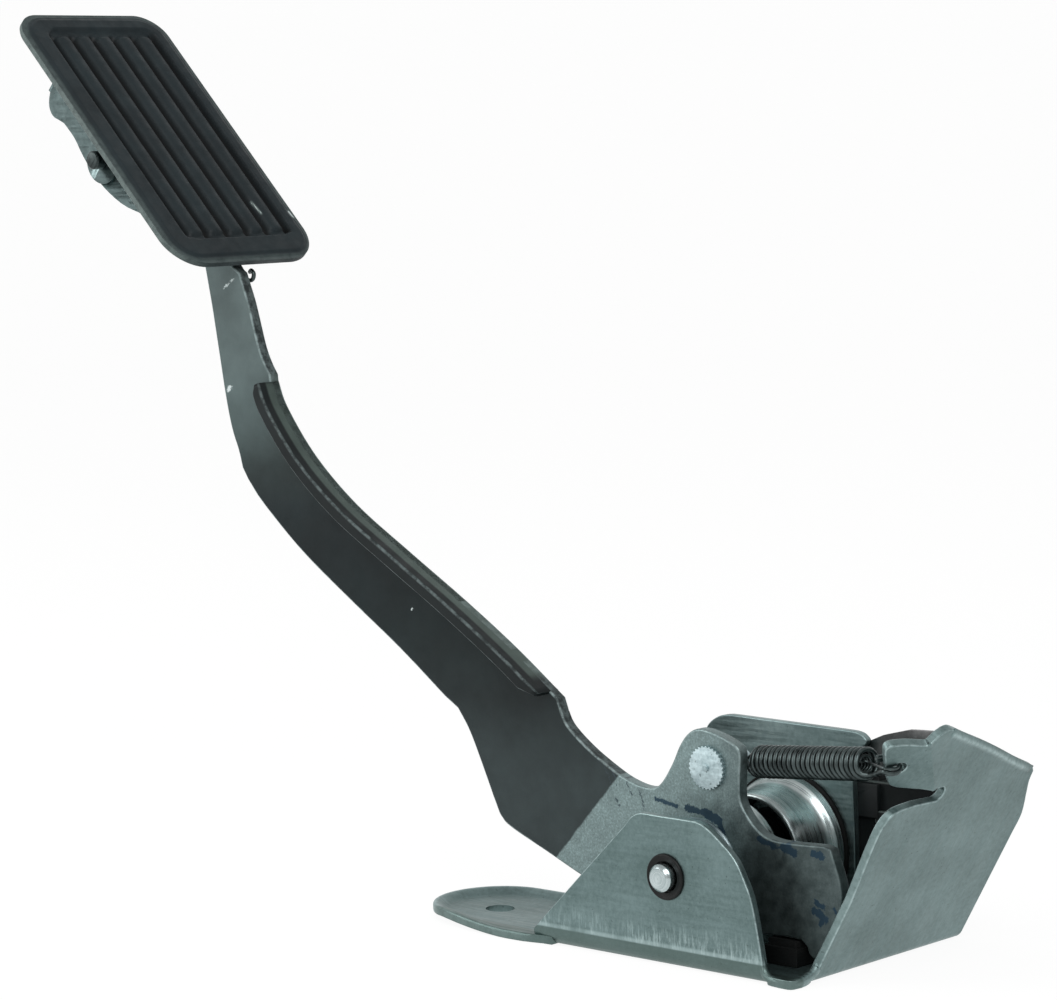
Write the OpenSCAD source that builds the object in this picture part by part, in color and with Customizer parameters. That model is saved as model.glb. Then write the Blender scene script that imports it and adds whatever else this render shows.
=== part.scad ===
// Suspended accelerator pedal with position sensor, lying on its firewall face.
// Drawn from the corner of the near ear and the flap: X from the pad to the flap,
// Y along the pivot axis away from the near ear, Z up from the underside of the
// base. Each node is then moved to the row frame, whose origin is the centre of
// the tongue's stud hole on the underside. All sizes in mm.

/* [Bracket] */
// sheet thickness of the bracket pressing
sheet_t = 2.6; // [2:0.1:4]
// inside radius of the sheet bends
bend_r = 1.5; // [1:0.1:4]
// length of the base under the near ear
base_len = 97; // [80:1:130]
// width of the base at the flap
base_w = 80; // [60:1:110]
// height of the near ear
ear_h = 43.4; // [38:0.1:60]
// length of the tongue beyond the ear
tongue_len = 53; // [40:1:80]
// lean of the flap from upright, degrees
flap_lean = 29.5; // [20:0.5:40]
// length of the flap up its slope at the peak
flap_len = 85; // [70:0.5:100]
// inward bend of the spring tab, degrees
tab_bend = 25; // [0:1:35]
// hole in the spring tab
tab_hole_d = 4.2; // [3:0.1:6]
// hook hole, along the tab's fold
tab_hole_u = 16; // [12:0.1:20]
// hook hole, away from the tab's fold
tab_hole_v = 8.6; // [6:0.1:9.4]
// open corner along the near ear
corner_x = 9.4; // [6:0.1:14]
// open corner along the flap
corner_y = 9.8; // [6:0.1:14]

/* [Mounting] */
// bolt hole in the tongue
mount_hole_d = 8.8; // [6:0.1:11]
// bolt holes in the far corners of the base
rear_hole_d = 6.6; // [5:0.1:9]

/* [Pivot] */
// pivot axis along X
pivot_x = -44.2; // [-60:0.1:-30]
// pivot axis above the base underside
pivot_z = 26.1; // [20:0.1:40]
// shaft diameter
shaft_d = 8; // [6:0.1:12]
// outer diameter of the bushes
bush_d = 12; // [10:0.1:16]
// inside of the rear plate from the near ear's outer face
rear_y = 56; // [45:0.5:70]
// rear plate height
rear_h = 62.2; // [50:0.1:75]

/* [Arm] */
// thickness of the arm stamping
arm_t = 4; // [3:0.1:6]
// near face of the arm from the near ear's outer face
arm_y = 14.5; // [10:0.1:22]
// width of the folded flange
flange_w = 5.5; // [3:0.1:10]
// hub collar diameter
collar_d = 28; // [20:0.5:32]

/* [Drum] */
// drum diameter at the split
drum_d = 35.6; // [28:0.1:44]
// drum flange diameter
drum_flange_d = 41.6; // [34:0.1:50]

/* [Springs] */
// outer diameter of the outer return spring
spring_d = 9; // [7:0.1:12]
// wire of the outer return spring
spring_wire = 1.3; // [0.8:0.1:2]
// coils of the outer return spring
spring_turns = 21; // [14:1:26]
// outer diameter of the inner return spring
inner_d = 5.4; // [4:0.1:6]
// wire of the inner return spring
inner_wire = 0.8; // [0.5:0.1:1.2]

/* [Pad] */
// pad width
pad_w = 62; // [45:1:80]
// pad length
pad_l = 114; // [80:1:130]
// pad thickness at the edge
pad_t = 6; // [4:0.5:10]
// slope of the pad from level, degrees
pad_slope = 45.8; // [35:0.1:55]
// hinge pin diameter
pin_d = 6; // [4:0.1:8]

/* [Hidden] */
$fn = 48;
e = 0.01;
ro = bend_r + sheet_t;
shaft_r = shaft_d / 2;
arm_yf = arm_y + arm_t;
rear_yo = rear_y + sheet_t;
hole_x = -base_len - 31;            // stud hole in the tongue
hole_y = 19.6;
datum = [-hole_x, -hole_y, 0];
fs = sin(flap_lean);
fc = cos(flap_lean);
flap_cx = ro * (fs - 1) / fc;      // centre of the flap's bend
pad_cy = arm_y + arm_t / 2;
pin_px = -285.5;
pin_pz = 231.2;
rivet_r = 13.4;                      // circle of the cup's rivets
stud_x = -39.9;
stud_z = 55.7;
stud_yh = 27;                       // spring groove on the stud

// ---------- helpers ----------
// points of a smooth curve through p, n steps per span
function cr(a, b, c, d, t) = 0.5 * ((2 * b) + (c - a) * t
  + (2 * a - 5 * b + 4 * c - d) * t * t + (3 * b - a - 3 * c + d) * t * t * t);
function curve(p, n = 4) = [for (i = [0 : len(p) - 2]) for (k = [0 : n - 1])
  cr(p[max(i - 1, 0)], p[i], p[i + 1], p[min(i + 2, len(p) - 1)], k / n),
  p[len(p) - 1]];
// arc points round c from angle a to b
function arc(c, r, a, b, n = 8) = [for (k = [0 : n])
  [c[0] + r * cos(a + (b - a) * k / n), c[1] + r * sin(a + (b - a) * k / n)]];
function turn2(p, a) = [p[0] * cos(a) - p[1] * sin(a), p[0] * sin(a) + p[1] * cos(a)];

// plate in the XZ plane from y0 with thickness t
module xz(y0, t) { translate([0, y0 + t, 0]) rotate([90, 0, 0]) linear_extrude(t) children(); }
// cylinder along Y
module ycyl(d, y0, y1, x = pivot_x, z = pivot_z, f = 48) {
  translate([x, y1, z]) rotate([90, 0, 0]) cylinder(d = d, h = y1 - y0, $fn = f);
}
module ycone(d0, d1, y0, y1, x = pivot_x, z = pivot_z) {
  translate([x, y0, z]) rotate([-90, 0, 0]) cylinder(d1 = d0, d2 = d1, h = y1 - y0);
}
// flap plane: first coordinate Y, second up the slope, third outward
module on_flap() { rotate([0, flap_lean, 0]) rotate([90, 0, 90]) children(); }

// ---------- bracket ----------
// tongue outline inset by d
module tongue2(d) {
  polygon(concat([[-base_len + 8, d], [-base_len + 8, 44 - d], [-base_len - 16, 40.5 - d]],
    arc([-base_len - tongue_len + 20.5, 20.2], 20.3 - d, 92, 268, 22), [[-base_len - 6, d]]));
}
// leaning flap outline, Y across and s up the slope
module flap2() {
  p = flap_len;
  polygon(concat([[corner_y, -flap_cx - 0.05]],
    curve([[corner_y + 0.4, p - 57], [9.4, p - 50], [8.2, p - 39], [8, p - 32], [9.6, p - 28], [13, p - 26.2], [19.8, p - 25.6]], 3),
    [[29, p - 26]], arc([29, p - 23.7], 2.3, -80, 95, 8),
    [[26, p - 21.4], [12.7, p - 3.7], [14.9, p - 1.5]],
    curve([[17.2, p - 0.3], [19.4, p], [22.5, p - 1], [29.2, p - 3.8], [44.6, p - 10], [base_w - 19, p - 17.3], [base_w - 7, p - 22.3]], 3),
    curve([[base_w - 5.6, p - 24], [base_w - 5.2, p - 27.4], [base_w - 3.8, p - 31], [base_w - 0.2, p - 40], [base_w - 0.2, p - 47]], 3),
    [[base_w - 1, -flap_cx - 0.05]]));
}
// tab outline: along the fold and away from it
module tab2() {
  polygon(concat([[0, -0.6], [0, 0]], curve([[2.4, 3], [5.4, 7.4], [7.2, 9.9], [8.6, 11.2], [10.6, 12], [15.6, 12.3], [20.4, 12.3], [25.2, 12.1], [26.9, 11.3], [27, 9.3], [25.4, 5.4], [23, 1.6]], 3),
    [[22.1, 0], [22.1, -0.6]]));
}
module on_tab() {
  on_flap() translate([26, flap_len - 21.4, -sheet_t]) rotate([0, 0, 126.9]) rotate([-tab_bend, 0, 0])
    translate([0, 0, sheet_t]) children();
}
module near_ear2() {
  h = ear_h;
  polygon(concat([[-base_len + ro - 0.3, ro - e]],
    curve([[-59.5, h - 4.2], [-56.8, h - 1.4], [-53.5, h], [-48, h]], 3),
    curve([[-33, h - 0.1], [-29.6, h - 1.2], [-24.5, h - 4.6], [-19, h - 9.3], [-15.7, h - 14.8], [-13.5, h - 19.6], [-12, h - 25.4], [-10.7, h - 32]], 3),
    [[-corner_x, ro - e]]));
}
module bracket() {
  translate(datum) color([0.62, 0.66, 0.66]) difference() {
    union() {
      // base and tongue
      linear_extrude(sheet_t) polygon([[-base_len + e, ro], [-corner_x - 0.1, ro], [-corner_x - 0.1, 1.4], [-7.6, 0.2], [-3.4, -0.4],
        [-0.4, -0.3], [0.9, 0.7], [1.3, 3.6], [0.6, 7.6], [-0.6, corner_y + 0.1], [flap_cx, corner_y + 0.1], [flap_cx, base_w - 1], [-base_len + 13, base_w - 1], [-base_len + 1, 60], [-base_len - 3, 43]]);
      linear_extrude(sheet_t) tongue2(0);
      // raised rim of the tongue
      translate([0, 0, sheet_t - e]) linear_extrude(1.2) difference() { tongue2(0.2); tongue2(3.4);
        translate([-base_len + 2, -1]) square([8, 60]); }
      translate([0, 0, sheet_t + 1]) linear_extrude(0.9) difference() { tongue2(0.9); tongue2(2.6);
        translate([-base_len, -1]) square([10, 60]); }
      // near ear with its bend
      xz(0, sheet_t) near_ear2();
      intersection() {
        translate([-base_len + 1, ro, ro]) rotate([0, 90, 0]) difference() {
          cylinder(r = ro, h = base_len - 1 - corner_x); translate([0, 0, -1]) cylinder(r = bend_r, h = base_len); }
        translate([-base_len, -1, -1]) cube([base_len, ro + 1, ro + 1]);
      }
      // flap with its bend
      intersection() {
        translate([flap_cx, base_w - 1, ro]) rotate([90, 0, 0]) difference() {
          cylinder(r = ro, h = base_w - 1 - corner_y); translate([0, 0, -1]) cylinder(r = bend_r, h = base_w); }
        translate([flap_cx, base_w, ro]) rotate([90, 0, 0]) linear_extrude(base_w)
          polygon([[0, 0], [0, -3 * ro], [3 * ro, -3 * ro], [3 * ro, -3 * ro * fs / fc]]);
      }
      on_flap() translate([0, 0, -sheet_t]) linear_extrude(sheet_t) flap2();
      // spring tab and its fold
      on_tab() translate([0, 0, -sheet_t]) linear_extrude(sheet_t) tab2();
      on_flap() translate([26, flap_len - 21.4, -sheet_t]) rotate([0, 0, 126.9]) rotate([0, 90, 0])
        translate([0, 0, 0.1]) cylinder(r = sheet_t - 0.03, h = 21.8);
    }
    ycyl(bush_d, -1, sheet_t + 1);
    on_tab() translate([tab_hole_u, tab_hole_v, -sheet_t - 1]) cylinder(d = tab_hole_d, h = sheet_t + 2, $fn = 32);
    translate([hole_x, hole_y, -1]) cylinder(d = mount_hole_d, h = sheet_t + 2);
    for (x = [-base_len + 22, -12]) translate([x, base_w - 9, -1]) cylinder(d = rear_hole_d, h = sheet_t + 2, $fn = 32);
  }
}
module rear_plate() {
  h = rear_h;
  translate(datum) color([0.5, 0.53, 0.53]) difference() {
    union() {
      xz(rear_y, sheet_t) polygon(concat([[-20, sheet_t + ro], [-20.2, 30], [-20.6, h - 12]],
        curve([[-20.4, h - 8], [-15.4, h - 3.4], [-16.4, h - 1.2], [-19, h - 0.2], [-24, h]], 3),
        curve([[-63.5, h + 0.4], [-67, h + 0.3], [-70.8, h - 0.6], [-74.4, h - 3], [-76.4, h - 6.6], [-77, h - 12]], 3),
        [[-80, sheet_t + ro]]));
      intersection() {
        translate([-80, rear_y + ro, sheet_t + ro]) rotate([0, 90, 0]) difference() {
          cylinder(r = ro, h = 60); translate([0, 0, -1]) cylinder(r = bend_r, h = 62); }
        translate([-81, rear_y - 1, sheet_t - 1]) cube([62, ro + 1, ro + 1]);
      }
      translate([-80, rear_y + ro, sheet_t]) cube([60, base_w - 17 - rear_y - ro, sheet_t]);
    }
    ycyl(bush_d, rear_y - 1, rear_yo + 1);
    for (a = [90, 210, 330]) ycyl(3, rear_y - 1, rear_yo + 1, pivot_x + rivet_r * cos(a), pivot_z + rivet_r * sin(a), 24);
    for (s = screws) ycyl(3.3, rear_y - 1, rear_yo + 1, s[0], s[1], 24);
  }
}
screws = [[pivot_x - 25.3, pivot_z], [pivot_x + 19.5, pivot_z - 14]];
// thin bowed strap, welded outside the rear plate and inside the flap peak
module brace_strap() {
  in = curve([[-26, rear_yo], [-17, rear_yo], [-9, rear_yo - 3.5], [3.8, 50], [18, 40.5], [27, 34], [33.8, 31.5], [34.9, 27]], 3);
  translate(datum) color([0.2, 0.22, 0.22]) intersection() {
    translate([0, 0, 50]) linear_extrude(24) polygon(concat(in, [for (i = [len(in) - 1 : -1 : 0])
      in[i] + 1.8 * [cos(strap_a(in, i)), sin(strap_a(in, i))]]));
    union() {
      translate([-30, 0, 49]) rotate([90, 0, 0]) mirror([0, 0, 1]) linear_extrude(80)
        polygon([[0, 0], [66, 5], [66, 20.4], [60, 21], [34, 16.6], [22, 13.4], [12, 9.6], [0, 8.8]]);
    }
    on_flap() translate([0, -10, -100 - sheet_t]) cube([90, 110, 100]);
  }
}
function strap_a(p, i) = let (a = p[max(i - 1, 0)], b = p[min(i + 1, len(p) - 1)]) atan2(b[1] - a[1], b[0] - a[0]) + 90;

// ---------- pivot ----------
module near_bush() {
  translate(datum) color([0.06, 0.06, 0.06]) difference() {
    union() { ycyl(bush_d, 0.5, sheet_t + e); ycyl(bush_d + 4, sheet_t, sheet_t + 1.1); }
    ycyl(shaft_d + 0.1, -1, 6);
  }
}
module far_bush() {
  translate(datum) color([0.06, 0.06, 0.06]) difference() {
    union() { ycyl(bush_d, rear_y - e, rear_yo - 0.3); ycyl(bush_d + 3, rear_y - 1.2, rear_y); }
    ycyl(shaft_d + 0.1, rear_y - 3, rear_yo + 1);
  }
}
module thrust_washer() {
  translate(datum) color([0.72, 0.6, 0.3]) difference() { ycyl(18, sheet_t + 1.4, sheet_t + 2.2); ycyl(shaft_d, 2, 8); }
}
module hub_collar() {
  translate(datum) color([0.6, 0.63, 0.63]) difference() {
    union() {
      ycyl(collar_d, sheet_t + 3.4, arm_y - 1.2);
      ycone(collar_d, collar_d + 1.6, arm_y - 1.2, arm_y);
      ycone(collar_d - 2.4, collar_d, sheet_t + 2.2, sheet_t + 3.4);
    }
    ycyl(shaft_d, 2, arm_y + 1);
  }
}
module pivot_shaft() {
  translate(datum) color([0.85, 0.86, 0.85]) difference() {
    union() {
      ycone(shaft_d - 2, shaft_d, -3.6, -2.6);
      ycyl(shaft_d, -2.6, rear_yo + 8);
    }
    // clip groove beyond the far bush
    difference() { ycyl(shaft_d + 2, rear_yo + 0.35, rear_yo + 1.25); ycyl(shaft_d - 1.6, rear_yo, rear_yo + 2); }
    // drive flat for the rotor
    translate([pivot_x - 10, rear_yo + 3, pivot_z + shaft_r - 1]) cube([20, 8, 5]);
  }
}
module shaft_clip() {
  translate(datum) color([0.2, 0.2, 0.2]) difference() {
    ycyl(shaft_d + 5, rear_yo + 0.4, rear_yo + 1.2);
    ycyl(shaft_d - 1.5, rear_yo, rear_yo + 2);
    translate([pivot_x - 2.6, rear_yo, pivot_z - 12]) cube([5.2, 2, 12]);
  }
}

// ---------- arm ----------
module arm2() {
  polygon(concat(
    // driver's side edge: down from the pad to the lug
    curve([[-228.6, 190.6], [-226.3, 185.8], [-224.2, 178.2], [-221.9, 171], [-219.6, 166.2], [-217.2, 162.6]], 2),
    curve([[-217, 160.4], [-212.9, 151.9], [-200.7, 137.2], [-183.2, 123], [-160.3, 109.4], [-137.3, 96.2], [-116.3, 83.2], [-97.6, 70.2]], 3),
    curve([[-96.2, 66.4], [-93.6, 62.3], [-86.2, 56.7], [-77, 51.6], [-70.2, 48.7], [-63.4, 47.4], [-58.6, 48.7],
      [-53.9, 54.9], [-50.6, 61], [-47.2, 64.9], [-43.2, 66.5], [-38, 65.9], [-31.5, 63.8], [-28.4, 61.2], [-28.6, 54], [-28.5, 47.6],
      [-26, 43.2], [-21.8, 39.3], [-17, 37.6], [-10.7, 37.4], [1, 37.9]], 3),
    // right lobe and stop finger
    [[3.4, 37.1], [6, 30.4], [7.2, 25.1], [6.6, 20], [3.2, 12], [0.3, 6.8], [-1.2, 5.2], [-3.2, 5.3], [-4.8, 6.6], [-5.5, 8.6]], curve([[-7.4, 10.1], [-12, 10.2], [-20, 10]], 2),
    // firewall side edge: back up to the pad
    curve([[-32, 9.6], [-44, 9.2], [-58, 9.6], [-74, 12.6], [-89.5, 18], [-103.3, 23.5], [-117.5, 29.1], [-121.6, 31.9], [-123.9, 35.7],
      [-130.4, 49.6], [-134.4, 57.4], [-138.8, 63.5]], 3),
    curve([[-144.2, 66.7], [-163, 79.9], [-184.1, 93.3], [-204.8, 107], [-222.2, 121.3], [-229.2, 128.8]], 3),
    curve([[-231.6, 132.4], [-233.2, 138], [-236, 145], [-238.4, 155], [-241.2, 171], [-243.6, 184.5], [-246.2, 197]], 3),
    // end under the pad
    curve([[-253, 203.4], [-263, 207.6], [-274, 212.2], [-286, 217.8]], 2),
    arc([pin_px, pin_pz], 9.4, 245, 80, 10), [[-268, 226.6], [-252, 212.8], [-238, 199.8]]));
}
// folded flange along the driver's side edge
module flange2() {
  o = curve([[-217, 160.4], [-212.9, 151.9], [-200.7, 137.2], [-183.2, 123], [-160.3, 109.4], [-137.3, 96.2], [-116.3, 83.2], [-100.5, 72.2]], 3);
  polygon(concat(o, [for (i = [len(o) - 1 : -1 : 0]) o[i] + min(arm_t, 1.2 + (len(o) - 1 - i) * 1.2) * [cos(strap_a(o, i) + 180), sin(strap_a(o, i) + 180)]]));
}
module pedal_arm() {
  translate(datum) color([0.14, 0.15, 0.15]) difference() {
    union() {
      xz(arm_y, arm_t) arm2();
      xz(arm_y - flange_w, flange_w + e) flange2();
    }
    ycyl(shaft_d, 0, 40);
    ycyl(pin_d + 0.1, 0, 40, pin_px, pin_pz);
    ycyl(6, 0, 40, stud_x, stud_z, 32);
  }
}
module spring_stud() {
  translate(datum) color([0.86, 0.88, 0.87]) {
    difference() {
      union() {
        ycyl(12.6, arm_y - 1.1, arm_y, stud_x, stud_z, 64);
        ycyl(6, arm_y - e, stud_yh - 1.6, stud_x, stud_z, 32);
        ycyl(9, arm_yf, arm_yf + 1.6, stud_x, stud_z, 32);
        ycyl(4.4, stud_yh - 1.7, stud_yh + 1.6, stud_x, stud_z, 32);
        ycyl(7, stud_yh + 1.6, stud_yh + 2.8, stud_x, stud_z, 32);
      }
      for (a = [0 : 12 : 348]) ycyl(0.9, arm_y - 2, arm_y + 0.01, stud_x + 6.3 * cos(a), stud_z + 6.3 * sin(a), 6);
    }
    ycyl(2, arm_y - 1.5, arm_y - 1, stud_x, stud_z, 16);
  }
}

// ---------- drum ----------
module drive_drum() {
  translate(datum) color([0.8, 0.81, 0.8]) translate([pivot_x, arm_yf, pivot_z]) rotate([-90, 0, 0]) rotate_extrude()
    polygon([[shaft_r, 0], [drum_d / 2 - 1.2, 0], [drum_d / 2 - 0.3, 0.5], [drum_d / 2, 1.4], [drum_d / 2, 10.6], [drum_d / 2 - 0.5, 11.4], [drum_d / 2 - 1.6, 11.4],
      [drum_d / 2 - 1.8, 2], [shaft_r + 2.4, 2], [shaft_r + 2.4, 6], [shaft_r, 6]]);
}
module friction_disc() {
  translate(datum) color([0.13, 0.11, 0.09]) difference() { ycyl(drum_d - 4.2, arm_yf + 6, arm_yf + 14); ycyl(shaft_d, 10, 50); }
}
module wave_washer() {
  translate(datum) color([0.35, 0.36, 0.36]) difference() {
    union() { ycyl(drum_d * 0.83, arm_yf + 14.4, arm_yf + 15.2); ycyl(drum_d * 0.69, arm_yf + 15.2, rear_y - 2); }
    ycyl(drum_d * 0.5, 10, rear_y);
  }
}
module damper_cup() {
  r = drum_d / 2;
  d = rear_y - arm_yf;
  translate(datum) color([0.84, 0.85, 0.84]) difference() {
    translate([pivot_x, arm_yf, pivot_z]) rotate([-90, 0, 0]) rotate_extrude()
      polygon([[r - 1.6, 19.6], [r - 0.6, 19.3], [r, 19.8], [r + 0.9, d - 6], [r + 1.3, d - 5], [drum_flange_d / 2 - 0.6, d - 4],
        [drum_flange_d / 2, d - 3.4], [drum_flange_d / 2, d - 2.2], [drum_flange_d / 2 + 0.4, d - 1.6], [drum_flange_d / 2 + 0.4, d],
        [9, d], [9, d - 2], [r - 1.8, d - 2]]);
    for (a = [90, 210, 330]) ycyl(3, 20, 80, pivot_x + rivet_r * cos(a), pivot_z + rivet_r * sin(a), 24);
  }
}
module cup_rivets() {
  translate(datum) color([0.7, 0.72, 0.72]) for (a = [90, 210, 330]) {
    x = pivot_x + rivet_r * cos(a); z = pivot_z + rivet_r * sin(a);
    ycyl(3, rear_y - 2, rear_yo, x, z, 24);
    ycone(5.4, 4.2, rear_yo, rear_yo + 0.9, x, z);
  }
}

// ---------- return springs ----------
// wire swept along the points p, f sides
function unit(v) = v / norm(v);
module wire(p, d, f = 6) {
  n = len(p);
  t = [for (i = [0 : n - 1]) unit(p[min(i + 1, n - 1)] - p[max(i - 1, 0)])];
  g = [0.21, 0.57, 0.79];
  v = [for (i = [0 : n - 1]) for (k = [0 : f - 1]) let (a = unit(cross(t[i], g)), b = cross(t[i], a))
    p[i] + d / 2 * (a * cos(360 * k / f) + b * sin(360 * k / f))];
  polyhedron(v, concat([[for (k = [0 : f - 1]) k]], [[for (k = [f - 1 : -1 : 0]) (n - 1) * f + k]],
    [for (i = [0 : n - 2]) for (k = [0 : f - 1]) [i * f + k, (i + 1) * f + k, (i + 1) * f + (k + 1) % f, i * f + (k + 1) % f]]));
}
function flap_pt(y, s, n) = [s * fs + n * fc, y, s * fc - n * fs];
function tab_pt(u, v, w) = let (k = w + sheet_t, y1 = v * cos(tab_bend) + k * sin(tab_bend),
  z1 = -v * sin(tab_bend) + k * cos(tab_bend), q = turn2([u, y1], 126.9))
  flap_pt(26 + q[0], flap_len - 21.4 + q[1], z1 - sheet_t);
S0 = [stud_x, stud_yh, stud_z];
S1 = tab_pt(tab_hole_u, tab_hole_v, -sheet_t / 2);
SD = unit(S1 - S0);
SL = norm(S1 - S0);
SA = unit(cross(SD, [0, 0, 1]));
SB = cross(SA, SD);
coil_a = 14.6;
coil_b = SL - 20;
function coil_pt(s, r, a) = S0 + SD * s + r * (cos(a) * SA + sin(a) * SB);
function stud_pt(r, a, y) = [stud_x + r * cos(a), y, stud_z + r * sin(a)];
module outer_spring() {
  r = (spring_d - spring_wire) / 2;
  n = round(spring_turns * 12);
  translate(datum) color([0.22, 0.23, 0.24]) wire(concat(
    [for (a = [50 : 30 : 320]) stud_pt(2.3 + spring_wire / 2, a, stud_yh + 0.8)],
    [coil_pt(9, 2.6, -20), coil_pt(12.5, r - 0.4, -40)],
    [for (i = [0 : n]) coil_pt(coil_a + (coil_b - coil_a) * i / n, r, -30 + spring_turns * 360 * i / n)],
    curve([coil_pt(coil_b + 2.2, r - 0.3, spring_turns * 360 + 0), tab_pt(14.6, tab_hole_v + 6.8, 1.4), tab_pt(15.3, tab_hole_v + 3, 1.3), tab_pt(15.9, tab_hole_v + 0.7, 0.8),
      tab_pt(16, tab_hole_v - 0.3, -1.3), tab_pt(16.1, tab_hole_v + 0.3, -3.6), tab_pt(16.6, tab_hole_v + 2.8, -4.3), tab_pt(17.4, tab_hole_v + 6, -4.3)], 2)), spring_wire, 6);
}
module inner_spring() {
  r = (inner_d - inner_wire) / 2;
  m = spring_turns + 3;
  n = round(m * 10);
  translate(datum) color([0.25, 0.26, 0.27]) wire(concat(
    [for (a = [50 : 30 : 320]) stud_pt(2.3 + inner_wire / 2, a, stud_yh - 1)],
    [coil_pt(9, 2, 10), coil_pt(12.5, r - 0.2, -20)],
    [for (i = [0 : n]) coil_pt(coil_a + (coil_b - coil_a) * i / n, r, -10 + m * 360 * i / n)],
    curve([coil_pt(coil_b + 4, r - 0.4, 20), tab_pt(17.2, tab_hole_v + 6, 1.4), tab_pt(17.2, tab_hole_v + 2.8, 1.6), tab_pt(17.3, tab_hole_v + 0.2, 1),
      tab_pt(17.3, tab_hole_v - 0.6, -1.3), tab_pt(17.5, tab_hole_v + 0, -3.6), tab_pt(18.2, tab_hole_v + 2.4, -4.2), tab_pt(18.8, tab_hole_v + 4.8, -4.3)], 2)), inner_wire, 5);
}

// ---------- stops ----------
module idle_stop() {
  translate(datum) color([0.05, 0.05, 0.05]) {
    translate([-19.4, arm_y - 2, sheet_t]) cube([12, arm_t + 4, 5.2]);
    translate([-18.4, arm_y - 1, sheet_t + 5.2 - e]) cube([10, arm_t + 2, 2]);
  }
}
module travel_stop() {
  translate(datum) color([0.05, 0.05, 0.05]) translate([-89, arm_y + arm_t / 2, sheet_t]) {
    cylinder(d = 11, h = 1.6); cylinder(d1 = 9.5, d2 = 8, h = 2.6);
  }
}

// ---------- sensor ----------
sy0 = rear_yo;          // sealing face
sy1 = rear_yo + 15.4;   // end of the housing
function blade_x(i) = -35.5 + i * 3.4;
module sensor_housing() {
  translate(datum) color([0.05, 0.06, 0.06]) difference() {
    union() {
      ycyl(40, sy0, sy1);
      // screw lugs
      for (s = screws) ycyl(9, sy0, sy0 + 5, s[0], s[1], 32);
      translate([pivot_x - 25.3, sy0, pivot_z - 4.5]) cube([12, 5, 9]);
      translate([pivot_x + 8, sy0, pivot_z - 17]) cube([12, 5, 8]);
      // connector tower, seen past the edge of the rear plate
      translate([-40, sy0, 36.7]) cube([26.4, 15.4, 10]);
      translate([-36, sy0 + 1, 25]) cube([21, 13, 12]);
      translate([-38.5, sy0 + 2.4, 46]) cube([24, 12, 10.5]);
    }
    // rotor chamber
    ycyl(33, sy0 - 1, sy0 + 11);
    ycyl(29, sy0 + 10, sy1 + 1);
    ycyl(36.6, sy1 - 2, sy1 + 1);
    // seal groove
    difference() { ycyl(38, sy0 - 1, sy0 + 0.9); ycyl(35, sy0 - 2, sy0 + 2); }
    for (s = screws) ycyl(3.5, sy0 - 1, sy0 + 6, s[0], s[1], 24);
    // connector mouth
    translate([-36.7, sy0 + 3.8, 47.5]) cube([20.4, 9, 12]);
    // slots of the moulded-in blades
    for (i = [0 : 5]) translate([blade_x(i), sy0 + 10.4, 45]) cube([1, 0.7, 4]);
  }
}
module sensor_cover() {
  translate(datum) color([0.07, 0.08, 0.08]) difference() {
    union() {
      ycyl(36.4, sy1 - 2, sy1 + 0.6);
      ycyl(30, sy1 + 0.6 - e, sy1 + 1.6);
    }
    ycyl(24, sy1 + 0.9, sy1 + 3);
  }
}
module sensor_rotor() {
  translate(datum) color([0.85, 0.83, 0.74]) difference() {
    union() { ycyl(24, sy0 + 1.9, sy0 + 4.4); ycyl(14, sy0 + 4.4 - e, sy0 + 9); }
    difference() { ycyl(shaft_d, sy0, sy0 + 8.1); translate([pivot_x - 10, sy0 + 3, pivot_z + shaft_r - 1]) cube([20, 8, 5]); }
    ycyl(9.4, sy0 + 8.3, sy0 + 10, pivot_x, pivot_z, 32);
  }
}
module sensor_magnet() { translate(datum) color([0.3, 0.3, 0.32]) ycyl(9.4, sy0 + 8.3, sy0 + 9.6, pivot_x, pivot_z, 32); }
module sensor_board() {
  translate(datum) color([0.08, 0.3, 0.16]) {
    difference() { ycyl(29, sy0 + 11, sy0 + 12.4); for (x = [-3 : 2 : 7]) ycyl(0.9, sy0 + 10, sy0 + 13, pivot_x + x, pivot_z + 11, 16); }
    translate([pivot_x - 2.5, sy0 + 10, pivot_z - 2.5]) cube([5, 1.1, 5]);
  }
}
module sensor_terminals() {
  translate(datum) color([0.8, 0.72, 0.45]) for (i = [0 : 5]) translate([blade_x(i), sy0 + 10.4, 45]) cube([1, 0.7, 9]);
}
module sensor_seal() {
  translate(datum) color([0.25, 0.06, 0.04]) difference() { ycyl(37.9, sy0, sy0 + 0.9); ycyl(35.1, sy0 - 1, sy0 + 2); }
}
module sensor_screws() {
  translate(datum) color([0.7, 0.72, 0.72]) for (s = screws) difference() {
    union() { ycyl(3.3, rear_y + 0.2, sy0 + 5.1, s[0], s[1], 24); ycyl(6.6, sy0 + 5, sy0 + 7.4, s[0], s[1], 32); }
    ycyl(3.2, sy0 + 5.8, sy0 + 8, s[0], s[1], 6);
  }
}

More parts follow.
